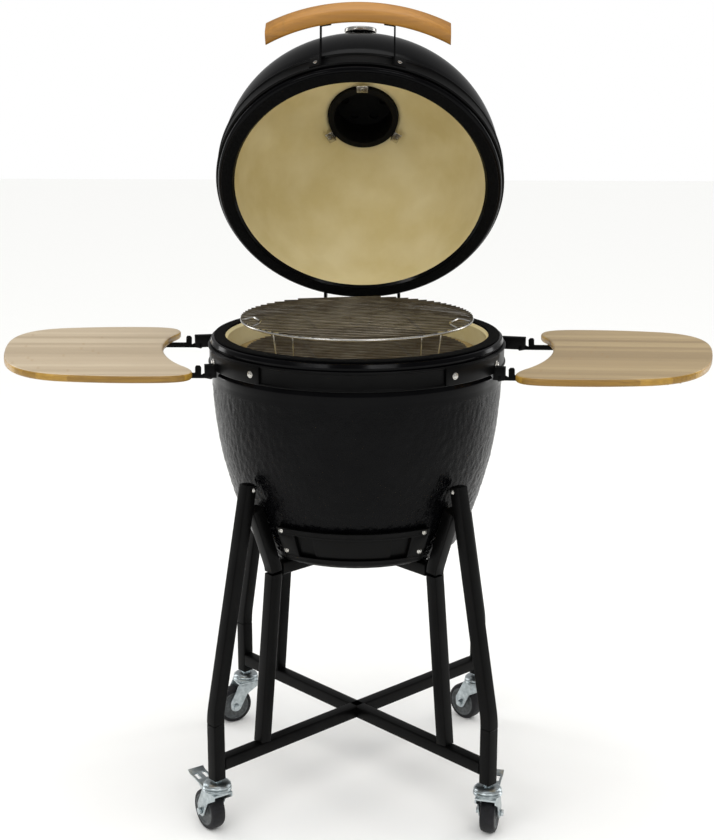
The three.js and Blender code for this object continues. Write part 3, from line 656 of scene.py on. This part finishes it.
def make_draft():
    """Draft door in its frame: rails above and below, cheeks at the ends, a panel that slides between."""
    rails = [leaf("rail_low", 2, 8.2, 503, 513, 36), leaf("rail_top", 2, 8.2, 563, 573, 36)]
    cheeks = [leaf("cheek", 2, 8.2, 512, 564, 4.5, 6, middle_deg=-90 + s * 31.5) for s in (-1, 1)]
    backs = [leaf("back", 2, 1.3, 512, 564, 8, 10, middle_deg=-90 + s * 23.5) for s in (-1, 1)]
    lips = [leaf("lip_low", 9, 1.6, 512, 516, 34), leaf("lip_top", 9, 1.6, 560, 564, 34)]
    frame_piece = joined("draft_frame_pressed", rails + cheeks + backs + lips)
    finished(frame_piece, "stand_and_bowl", "black_powder_coat", POWDER, "draft_frame")
    panel = leaf("draft_door_panel", 4.2, 2.4, 510, 566, 18.5)
    finished(panel, "draft_door", "stainless", POWDER, "draft_door")
    for index, (degrees, z) in enumerate(((-123.5, 567), (-123.5, 526), (-57, 567), (-57, 527))):
        spot, out = round_about(bowl_radius(z) + 10.1, degrees, z)
        finished(bolt(f"draft_bolt_{index}", spot, out, 3.6, 2.2), "stand_and_bowl", "zinc_plate", STEEL)


# ---------------------------------------------------------------- lid
NECK_R, NECK_TOP, THROAT_R, LID_TOP = 98, 284, 71, 268
VENT_Z = LID_RIM_Z + NECK_TOP + 0.3
CAP_PIVOT_Y = 86
HANDLE_IN, HANDLE_OUT, HANDLE_LOW, HANDLE_HIGH, HANDLE_HALF = 320, 345, LID_RIM_Z + 62, LID_RIM_Z + 99, 28.8
BAND_LOW = LID_RIM_Z + 12
SAW_ALLOWANCE = 3.4  # degrees of bar past each end of the handle, sawn off square to the chord
GAUGE_ANGLE = 0.644
HOLE_CIRCLE_R, VENT_HOLE_R = 40, 10


def make_lid():
    """Dome in glossy glaze with bare clay inside."""
    shoulder = superellipse(RIM_R, LID_TOP, 50, 2.3, 40, 0.03, 1.24)
    neck = [(NECK_R + 6, LID_TOP + 1), (NECK_R + 1, LID_TOP + 4), (NECK_R, NECK_TOP - 2),
            (NECK_R - 2, NECK_TOP)]
    rim = [(241, 0), (262, 0), (266.5, 2), (RIM_R, 5), (RIM_R, 8), (BAND_R - 0.3, 11), (BAND_R - 0.3, 48)]
    outside = [*rim, *shoulder, *neck, (THROAT_R, NECK_TOP)]
    inside = superellipse(BORE_R, 250, 30, 2.2, 30, 0.02, 1.25)[::-1]
    profile = [(r, z + LID_RIM_Z) for r, z in [*outside, (THROAT_R, 246), (THROAT_R + 3, 243), *inside,
                                               (BORE_R, 5)]]
    dome = turned("lid_dome_glazed", profile, 200, 0)
    dome.data.materials.append(GLAZE)
    dome.data.materials.append(CLAY)
    for face in dome.data.polygons:
        x, y, z = face.center / MM
        across, up = math.hypot(x, y), z - LID_RIM_Z
        inner_skin = across < BORE_R + 1 and (across / BORE_R) ** 2.2 + (max(0, up - 30) / 220) ** 2.2 < 1.06
        if inner_skin and 3 < up < NECK_TOP - 6:
            face.material_index = 1
    moved(dome, LID_PLACE)
    finished(dome, "lid", "black_glaze", GLAZE, "lid_dome")


def make_handle():
    """Steamed bamboo bar bent round the lid, on two steel straps."""
    ring = rounded_box(HANDLE_OUT - HANDLE_IN, HANDLE_HIGH - HANDLE_LOW, 7, 4,
                       (HANDLE_IN + HANDLE_OUT) / 2, (HANDLE_LOW + HANDLE_HIGH) / 2)
    swept = HANDLE_HALF + SAW_ALLOWANCE
    bar = turned("lid_handle_bamboo", ring, 72, 0, math.radians(2 * swept), math.radians(-90 - swept))
    end = HANDLE_OUT * math.sin(math.radians(HANDLE_HALF))
    saws = [block("saw", (min(s * end, s * 240), -380, HANDLE_LOW - 9),
                  (max(s * end, s * 240), -200, HANDLE_HIGH + 9))
            for s in (-1, 1)]
    drilled(bar, saws)
    soften(bar, 1.2)
    finished(moved(bar, LID_PLACE), "lid", "bamboo", HANDLE_BAMBOO, "lid_handle")


def make_thermometer():
    """Dial gauge on the dome: stem, bezel, white face, ticks and needle."""
    bezel = turned("thermometer_bezel", [(0, 0), (28, 0), (30, 2), (30, 7.5), (28, 9), (25.5, 9), (25, 7),
                                         (0, 7)],
                   64, 0.5, closed=False)
    stem = bar_of("stem", (0, 0, -58), (0, 0, 0), 3, 16)
    face = turned("thermometer_face", [(0, 7.1), (24.8, 7.1), (24.8, 7.5), (0, 7.5)], 64, 0, closed=False)
    marks = []
    for i in range(19):
        angle = math.radians(225 - 15 * i)
        out = Vector((math.cos(angle), math.sin(angle), 0))
        marks.append(bar_of("tick", out * (18 if i % 3 == 0 else 20) + Vector((0, 0, 7.6)),
                            out * 23 + Vector((0, 0, 7.6)), 0.35, 6))
    needle = bar_of("needle", (4, 4, 8.2), (-15, -13, 8.2), 0.5, 8)
    hub = bar_of("hub", (0, 0, 7.5), (0, 0, 8.8), 2.2, 20, 0.3)
    place = thermometer_place()
    finished(moved(joined("thermometer_bezel", [stem, bezel]), place), "lid", "stainless", STEEL,
             "thermometer")
    finished(moved(face, place), "lid", "stainless", DIAL_WHITE)
    finished(moved(joined("thermometer_marks", [*marks, needle, hub]), place), "lid", "stainless", DIAL_INK)


def thermometer_place():
    """On the dome's front meridian, facing outwards, lifted off the glaze by its seat."""
    (r, h), (r2, h2) = superellipse(RIM_R, LID_TOP, 50, 2.3, 1, GAUGE_ANGLE, GAUGE_ANGLE + 0.01)
    normal = Vector((0, -(h2 - h), r - r2)).normalized()
    spot = Vector((0, -r, LID_RIM_Z + h)) + normal * 1
    turn = normal.to_track_quat("Z", "X").to_matrix().to_4x4()
    return LID_PLACE @ Matrix.Translation(spot * MM) @ turn


def vent_holes(low, high):
    """Cutters for the ring of holes that the cap and the daisy wheel share."""
    spots = [(HOLE_CIRCLE_R * math.cos(a), HOLE_CIRCLE_R * math.sin(a))
             for a in (i * math.pi / 3 for i in range(6))]
    return joined("holes", [bar_of("hole", (x, y, low), (x, y, high), VENT_HOLE_R, 32) for x, y in spots])


def make_top_vent():
    """Cast throat with three clamps inside the lid, a slide cap on a pivot and a daisy wheel on the cap."""
    lift = Matrix.Translation((0, 0, VENT_Z * MM))
    throat = turned("vent_base_cast", [(58, -48), (70, -48), (70, 0), (102, 0), (103, 4), (102, 9), (90, 12),
                                       (66, 16), (58, 16)], 96, 0.8)
    pivot = bar_of("pivot", (0, CAP_PIVOT_Y, 8), (0, CAP_PIVOT_Y, 27), 4.8, 24, 0.6)
    base = moved(joined("vent_base_cast", [throat, pivot]), LID_PLACE @ lift)
    finished(base, "lid", "cast_iron", IRON, "vent_base")
    for index, degrees in enumerate((-90, 30, 150)):
        post = block("post", (68.5, -9, -55), (73.5, 9, -44), 0.6)
        foot = block("foot", (69, -11, -60), (84, 11, -56), 0.8)
        screw = bar_of("screw", (78, 0, -61), (78, 0, -63.5), 4, 6, 0.3)
        clamp = joined(f"vent_clamp_{index}", [post, foot, screw])
        turn = Matrix.Rotation(math.radians(degrees), 4, "Z")
        finished(moved(clamp, LID_PLACE @ lift @ turn), "lid", "stainless", STEEL)
    disc = turned("vent_cap_cast", [(0, 17), (78, 17), (80, 18.5), (80, 22), (76, 24), (0, 24)], 96, 0.5,
                  closed=False)
    drilled(disc, [vent_holes(10, 30), bar_of("bore", (0, CAP_PIVOT_Y, 10), (0, CAP_PIVOT_Y, 30), 5.4, 24)])
    ear = block("ear", (-14, 72, 17), (14, 97, 24), 2)
    drilled(ear, [bar_of("bore", (0, CAP_PIVOT_Y, 10), (0, CAP_PIVOT_Y, 30), 5.4, 24)])
    grip = block("grip", (-9, -107, 17), (9, -72, 22), 1.6)
    hub = bar_of("hub", (0, 0, 24), (0, 0, 36), 4.8, 24, 0.8)
    cap = moved(joined("vent_cap_cast", [disc, ear, grip, hub]), LID_PLACE @ lift)
    finished(cap, "vent_cap", "cast_iron", IRON, "vent_cap")
    wheel = turned("daisy_wheel_cast", [(5.4, 24.4), (64, 24.4), (64, 27.5), (62, 29), (5.4, 29)], 96, 0.5)
    shut = Matrix.Rotation(math.radians(30), 4, "Z")  # its holes lie between the cap's
    drilled(wheel, [moved(vent_holes(20, 40), shut)])
    tab = block("tab", (60, -8, 24.4), (82, 8, 28), 1)
    wheel = moved(joined("daisy_wheel_cast", [wheel, tab]), LID_PLACE @ lift)
    finished(wheel, "daisy_wheel", "cast_iron", IRON, "daisy_wheel")


# ---------------------------------------------------------------- hinge
def spring_wire(name, x0):
    """One torsion spring coiled round the hinge pin; x0 is its middle."""
    turns, pitch, coil_r, per_turn = 8, 3.9, 9.3, 16
    line = []
    for i in range(turns * per_turn + 1):
        angle = FULL_TURN * i / per_turn
        x = x0 + pitch * turns * (i / (turns * per_turn) - 0.5)
        line.append((x, HINGE.y + coil_r * math.cos(angle), HINGE.z + coil_r * math.sin(angle)))
    return wire(name, line, 1.6, 12)


def make_hinge():
    for side, x0 in (("left", -48), ("right", 48)):
        finished(spring_wire(f"hinge_spring_coil_{side}", x0), "stand_and_bowl", "zinc_plate", ZINC,
                 f"hinge_spring_{side}")
    pin = bar_of("hinge_pin_turned", (-94, HINGE.y, HINGE.z), (94, HINGE.y, HINGE.z), 5, 32, 0.8)
    finished(pin, "stand_and_bowl", "zinc_plate", ZINC, "hinge_pin")
    for node in ("bowl_hinge_plate", "lid_hinge_plate"):
        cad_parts[node].data.materials.clear()
        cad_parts[node].data.materials.append(POWDER)
    for index, degrees in enumerate((76, 84, 96, 104)):
        spot, out = round_about(BAND_R + BAND_T + 4, degrees, 853)
        finished(bolt(f"hinge_bolt_{index}", spot, out), "stand_and_bowl", "zinc_plate", ZINC)


# ---------------------------------------------------------------- shelves
def board_outline():
    """Kidney-shaped board: u outwards from the fold line, v along it."""
    inner = bezier((352, 0), (352, 50), (342, 108), (319, 150), 12)
    horn = bezier((319, 150), (300, 190), (308, 222), (368, 225), 12)
    rear = bezier((368, 225), (430, 228), (480, 222), (530, 212), 8)
    corner = bezier((530, 212), (600, 198), (631, 140), (637, 66), 14)
    end = bezier((637, 66), (639, 40), (639.5, 20), (639.5, 0), 4)
    half = inner + horn + rear + corner + end + [(639.5, 0)]
    whole = half + [(u, -v) for u, v in half[-2:0:-1]]
    return [(u - FOLD_U, v) for u, v in whole]


ARM_SCREWS = (70, 190, 290)


def make_shelf(name, side):
    place = shelf_place(side)
    outline = [(side * u, v) for u, v in board_outline()]
    board = cut_out(f"shelf_{name}_board", outline, BOARD_T, 0)
    apply(board, "BEVEL", width=4.5 * MM, segments=4, limit_method="ANGLE", angle_limit=math.radians(50))
    soften(board, 0, angle=40)
    # The top takes its side's tone, which carries painted light on the left and painted shade on the right.
    board.data.materials.append(BOARD_BAMBOO_PAINTED_LIGHT[side])
    board.data.materials.append(EDGE_BAMBOO[side])
    for face in board.data.polygons:
        face.material_index = 1 if face.normal.z < 0.8 else 0
    lift = Matrix.Translation((0, 0, BOARD_LIFT * MM))
    finished(moved(board, place @ lift), f"shelf_{name}", "bamboo", BOARD_BAMBOO_PAINTED_LIGHT[side], f"shelf_{name}")
    top = BOARD_LIFT - 0.3
    bar = [(-7, -3), (-3, -7), (8, -5), (314, top - 9), (314, top), (26, top), (26, 15), (24, 18), (18, 18),
           (15, 15), (15, 1), (5, 6), (-5, 6)]
    for end, v in (("front", -ARM_SPREAD), ("rear", ARM_SPREAD)):
        arm = cut_out(f"shelf_arm_{name}_{end}_bar", [(side * x, z) for x, z in bar], 5, 0.9)
        arm = moved(arm, Matrix.Translation((0, 2.5 * MM, 0)) @ Matrix.Rotation(math.pi / 2, 4, "X"))
        drilled(arm, [bar_of("bore", (0, -9, 0), (0, 9, 0), 3.4, 24)])
        screws = [bolt("screw", (side * x, 0, top - 9.5), (0, 0, -1), 3.4, 2) for x in ARM_SCREWS]
        arm = moved(joined(arm.name, [*screws, arm]), place @ Matrix.Translation((0, v * MM, 0)))
        finished(arm, f"shelf_{name}", "black_powder_coat", POWDER, f"shelf_arm_{name}_{end}")
    make_brackets(name, side)


def make_brackets(name, side):
    """Foot along the band, two cheeks beside the arm and the fold pin, for both ends of a shelf."""
    turn = Matrix.Rotation(-side * SHELF_TURN, 4, "Z")
    outer = BAND_R + BAND_T + 0.6
    for end, v, foot_from, foot_to in (("front", BOARD_V - ARM_SPREAD, -43, -9),
                                       ("rear", BOARD_V + ARM_SPREAD, 43, 69)):
        start = foot_from if side > 0 else 180 - foot_to
        foot = turned("foot", [(outer, 838), (outer + 4, 838), (outer + 4, 869), (outer, 869)], 24, 1.2,
                      math.radians(foot_to - foot_from), math.radians(start))
        pieces = [foot]
        for offset in (-6, 3):
            near = min(abs(v + offset), abs(v + offset + 3))
            root = math.sqrt((outer + 1) ** 2 - near**2)
            cheek = block("cheek", (min(side * root, side * (FOLD_U + 9)), v + offset, 826),
                          (max(side * root, side * (FOLD_U + 9)), v + offset + 3, 850), 0.9)
            pieces.append(cheek)
        pieces.append(bar_of("pin", (side * FOLD_U, v - 8.5, FOLD_Z), (side * FOLD_U, v + 8.5, FOLD_Z), 3,
                             24, 0.5))
        for index, degrees in enumerate((foot_from + 4, foot_to - 4)):
            spot, out = round_about(outer + 4, degrees if side > 0 else 180 - degrees, 853.5)
            screw = moved(bolt(f"shelf_bolt_{name}_{end}_{index}", spot, out, 4.6, 3), turn)
            finished(screw, "stand_and_bowl", "zinc_plate", STEEL)
        bracket = moved(joined(f"shelf_bracket_{name}_{end}_steel", pieces), turn)
        finished(bracket, "stand_and_bowl", "black_powder_coat", POWDER, f"shelf_bracket_{name}_{end}")


# ---------------------------------------------------------------- stand
CROSS_Z = CASTER_H + 27
UPPER_CROSS_Z = BOWL_BOTTOM_Z - GAP - TUBE / 2
LEG_BEND_Z, LEG_BEND_R = 234, 16
LEG_TOP_R, LEG_TOP_Z = 262, 648
POST_FOOT_R, POST_WAIST_R, POST_BEND_R = 239, 206, 14
POST_TOP_R, POST_TOP_Z = 248, 600


def bent(points, radius, steps=5):
    """Rounds the bends of a route, with a short straight on each side that keeps the shading flat."""
    route = [Vector(points[0])]
    for before, here, after in zip(points, points[1:], points[2:]):
        here = Vector(here)
        entry = here + (Vector(before) - here).normalized() * radius
        leave = here + (Vector(after) - here).normalized() * radius
        route.append(entry + (Vector(before) - here).normalized() * 2)
        for i in range(steps + 1):
            t = i / steps
            route.append(entry * (1 - t) ** 2 + here * 2 * t * (1 - t) + leave * t**2)
        route.append(leave + (Vector(after) - here).normalized() * 2)
    return [*route, Vector(points[-1])]


def make_stand():
    for corner, degrees in CORNERS.items():
        turn = Matrix.Rotation(math.radians(degrees), 4, "Z")
        leg_route = [(LEG_R, 0, CASTER_H + GAP), (LEG_R, 0, LEG_BEND_Z), (LEG_TOP_R, 0, LEG_TOP_Z)]
        leg = square_tube(f"leg_{corner}_tube", bent(leg_route, LEG_BEND_R), TUBE)
        cap = block("cap", (-8.5, -8.5, 0), (8.5, 8.5, 3), 1.2)
        rise = Vector((LEG_TOP_R - LEG_R, 0, LEG_TOP_Z - LEG_BEND_Z))
        lean = rise.to_track_quat("Z", "Y").to_matrix().to_4x4()
        moved(cap, Matrix.Translation(Vector((LEG_TOP_R, 0, LEG_TOP_Z - 0.5)) * MM) @ lean)
        leg = moved(joined(leg.name, [cap, leg]), turn)
        finished(leg, "stand_and_bowl", "black_powder_coat", POWDER, f"leg_{corner}")
        post_route = [(POST_FOOT_R, 0, CROSS_Z + TUBE / 2 + GAP), (POST_WAIST_R, 0, UPPER_CROSS_Z),
                      (POST_TOP_R, 0, POST_TOP_Z)]
        post = moved(square_tube(f"inner_post_{corner}_tube", bent(post_route, POST_BEND_R), TUBE), turn)
        finished(post, "stand_and_bowl", "black_powder_coat", POWDER, f"inner_post_{corner}")
        side = 1 if corner in ("front_left", "rear_right") else -1  # the face turned to the front or back
        screw = bolt(f"leg_bolt_{corner}", (259, side * TUBE / 2, 640), (0, side, 0), 3.4, 2.2)
        finished(moved(screw, turn), "stand_and_bowl", "zinc_plate", STEEL)
    half = TUBE / 2
    for name, reach, z in (("lower_cross", LEG_R - half - GAP, CROSS_Z),
                           ("upper_cross", POST_WAIST_R - half - 1.5, UPPER_CROSS_Z)):
        bars = [moved(square_tube("bar", [(-reach, 0, z), (0, 0, z), (reach, 0, z)], TUBE),
                      Matrix.Rotation(math.radians(turn), 4, "Z")) for turn in (45, -45)]
        cross = joined(name + "_tubes", bars)
        finished(cross, "stand_and_bowl", "black_powder_coat", POWDER, name)


# ---------------------------------------------------------------- casters
def caster_head():
    """Top plate, cup and threaded stem nut above the ball race."""
    plate_part = turned("head", [(0, 97), (25, 97), (25.5, 99), (24, 101), (20, 103.5), (12, 105), (0, 105)],
                        48, 0.3, closed=False)
    nut = bar_of("nut", (0, 0, 104.8), (0, 0, CASTER_H - 0.2), 9.5, 6, 0.6)
    return joined("head", [nut, plate_part])


def caster_fork():
    """Pressed fork: double ball race on top, tapered cheeks, hexagon axle bolts."""
    outline = [(-22, 84), (23, 84), (TRAIL + 12, 48), *[(TRAIL + 12 * math.cos(a), 38 + 11 * math.sin(a))
               for a in (math.radians(-15 - 15 * i) for i in range(11))], (4, 62), (-22, 78)]
    cheeks = []
    for y in (-17, 19.5):
        cheek = cut_out("cheek", outline, 2.5, 0.8)
        cheeks.append(moved(cheek, Matrix.Translation((0, y * MM, 0)) @ Matrix.Rotation(math.pi / 2, 4, "X")))
    crown = block("crown", (-22, -19.5, 83), (23, 19.5, 88), 1.6)
    race = turned("race", [(0, 87), (20, 87), (24, 88.2), (26.2, 90), (26.2, 91), (24.6, 91.8), (26.2, 92.6),
                           (26.2, 93.8), (24, 95.6), (22, 96.7), (0, 96.7)], 48, 0.3, closed=False)
    axle = bar_of("axle", (TRAIL, -24, WHEEL_R), (TRAIL, 24, WHEEL_R), 4, 20)
    heads = [bar_of("head", (TRAIL, side * 19.7, WHEEL_R), (TRAIL, side * 24.8, WHEEL_R), 6.8, 6, 0.6)
             for side in (-1, 1)]
    return joined("fork", [*cheeks, crown, axle, *heads, race])


def caster_tyre():
    ring = [(29, -13.2), (33, -13.6), (36, -12), (37.3, -8), (WHEEL_R, 0), (37.3, 8), (36, 12), (33, 13.6),
            (29, 13.2), (28, 0)]
    return moved(turned("tyre", ring, 72, 0.5), Matrix.Rotation(math.pi / 2, 4, "X"))


def caster_hub():
    """Wheel core with a raised dust cap each side."""
    core = turned("hub", [(4.4, -14), (10, -14), (12, -12.8), (13, -10.5), (25, -10.5), (27.4, -13.4),
                          (29.3, -13.4), (29.3, 13.4),
                          (27.4, 13.4), (25, 10.5), (13, 10.5), (12, 12.8), (10, 14), (4.4, 14)], 72, 0.3)
    return moved(core, Matrix.Rotation(math.pi / 2, 4, "X"))


def brake_pedal():
    """Pressed pedal with a folded tread and two slots."""
    side = [(26, 79), (34, 79), (42, 86), (76, 90), (84, 95), (83, 97), (75, 92.4), (40, 88.8), (26, 87)]
    pedal = cut_out("pedal", side, 32, 0.7)
    pedal = moved(pedal, Matrix.Translation((0, 16 * MM, 0)) @ Matrix.Rotation(math.pi / 2, 4, "X"))
    slots = [block("slot", (50, y - 3.5, 70), (70, y + 3.5, 110), 0) for y in (-8, 8)]
    return drilled(pedal, slots)


def make_casters():
    head, fork, tyre, hub, pedal = caster_head(), caster_fork(), caster_tyre(), caster_hub(), brake_pedal()
    for corner in CORNERS:
        place = caster_place(corner)
        axle = place @ Matrix.Translation((TRAIL * MM, 0, WHEEL_R * MM))
        finished(copied(head, f"caster_head_{corner}_cup", place), "stand_and_bowl", "zinc_plate", ZINC,
                 f"caster_head_{corner}")
        finished(copied(fork, f"caster_fork_{corner}_pressed", place), f"caster_{corner}", "zinc_plate",
                 ZINC, f"caster_fork_{corner}")
        wheel = copied(tyre, f"caster_tyre_{corner}", axle)
        finished(wheel, f"wheel_{corner}", "tyre_rubber", TYRE, f"caster_wheel_{corner}")
        finished(copied(hub, f"caster_hub_{corner}", axle), f"wheel_{corner}", "tyre_rubber", NYLON)
        if "front" in corner:
            finished(copied(pedal, f"brake_pedal_{corner}_pressed", place), f"brake_pedal_{corner}",
                     "zinc_plate", ZINC, f"brake_pedal_{corner}")
    for pattern in (head, fork, tyre, hub, pedal):
        bpy.data.objects.remove(pattern)


# ---------------------------------------------------------------- small fasteners on the bands
def make_band_bolts():
    for index, degrees in enumerate((-90 - 16, -90 + 16)):
        spot, out = round_about(BAND_R + BAND_T, degrees, BAND_LOW + 17)
        piece = moved(bolt(f"lid_band_bolt_{index}", spot, out, 5, 3), LID_PLACE)
        finished(piece, "lid", "zinc_plate", STEEL)
    for node in ("handle_bracket_left", "handle_bracket_right"):
        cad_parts[node].data.materials.clear()
        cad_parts[node].data.materials.append(POWDER)


# ---------------------------------------------------------------- camera, light and floor
CAMERA_SPOT = (0.1, -2.786, 1.433)  # from the bowl axis, in metres
CAMERA_DOWN, CAMERA_YAW, LENS_MM = 14.34, 2.05, 77.8
ROOM_LEVEL = 0.34


def soft_light(name, spot, aim, size, watts):
    bpy.ops.object.light_add(type="AREA", location=spot)
    light = bpy.context.object
    light.name = name
    light.data.shape = "RECTANGLE"
    light.data.size, light.data.size_y = size
    light.data.energy = watts
    light.rotation_euler = (Vector(aim) - Vector(spot)).to_track_quat("-Z", "Y").to_euler()


def make_studio():
    x, y, z = CAMERA_SPOT
    bpy.ops.object.camera_add(location=(x, y + BOWL_AXIS_Y, z))
    camera = bpy.context.object
    camera.rotation_euler = (math.radians(90 - CAMERA_DOWN), 0, math.radians(CAMERA_YAW))
    camera.data.sensor_fit = "HORIZONTAL"
    camera.data.sensor_width = 36
    camera.data.lens = LENS_MM
    bpy.context.scene.camera = camera
    bpy.context.scene.view_settings.view_transform = "Standard"
    select_none()
    bpy.ops.mesh.primitive_plane_add(size=24)
    floor = bpy.context.object
    floor.name = "studio_floor"
    material, tree, place, shader = new_material("studio_floor")
    set_inputs(shader, Base_Color=linear("#F4F4F2"), Roughness=0.9)
    floor.data.materials.append(material)
    bpy.ops.object.light_add(type="SUN", location=(0, -1, 4), rotation=(math.radians(12), 0, 0))
    haze = bpy.context.object  # even light from above that lifts the floor to a pale tone
    haze.name = "soft_daylight"
    haze.data.energy = 2.4
    haze.data.angle = math.radians(110)
    haze.visible_glossy = False
    soft_light("left_box", (-1.6, -2.7, 2.3), (0, 0, 0.95), (1.3, 0.35), 14)
    soft_light("right_box", (1.1, -2.9, 2.3), (0, 0, 0.95), (1.2, 0.35), 13)
    soft_light("top_box", (0, 0.1, 3.6), (0, 0, 0.8), (2.4, 2.0), 22)
    for side, x in (("left", -2.3), ("right", 2.3)):
        soft_light(f"{side}_edge", (x, 1.3, 1.2), (0, 0, 0.7), (0.5, 2.2), 13)
    make_world()


def make_world():
    """White to the camera, a dim room to everything that it lights."""
    world = bpy.data.worlds.new("studio")
    bpy.context.scene.world = world
    world.use_nodes = True
    tree = world.node_tree
    tree.nodes.clear()
    seen = add(tree, "ShaderNodeLightPath").outputs["Is Camera Ray"]
    level = add(tree, "ShaderNodeMapRange", {"Value": seen, "To Min": ROOM_LEVEL, "To Max": 1.0})
    sky = add(tree, "ShaderNodeBackground", {"Color": linear("#FFFFFF"), "Strength": level.outputs[0]})
    add(tree, "ShaderNodeOutputWorld", {"Surface": sky.outputs[0]})


make_studio()
make_bowl()
make_band("bowl_band_pressed", 836, 871, IN_PLACE, "stand_and_bowl", "bowl_band")
make_felt("bowl_gasket_felt", RIM_Z + GAP, RIM_Z + GAP + FELT, IN_PLACE, "stand_and_bowl", "bowl_gasket")
make_fire_parts()
make_charcoal_grate()
make_grates()
make_draft()
make_lid()
make_band("lid_band_pressed", BAND_LOW, LID_RIM_Z + 46, LID_PLACE, "lid", "lid_band")
make_felt("lid_gasket_felt", LID_RIM_Z - GAP - FELT, LID_RIM_Z - GAP, LID_PLACE, "lid", "lid_gasket")
make_handle()
make_thermometer()
make_top_vent()
make_hinge()
make_shelf("left", -1)
make_shelf("right", 1)
make_stand()
make_casters()
make_band_bolts()
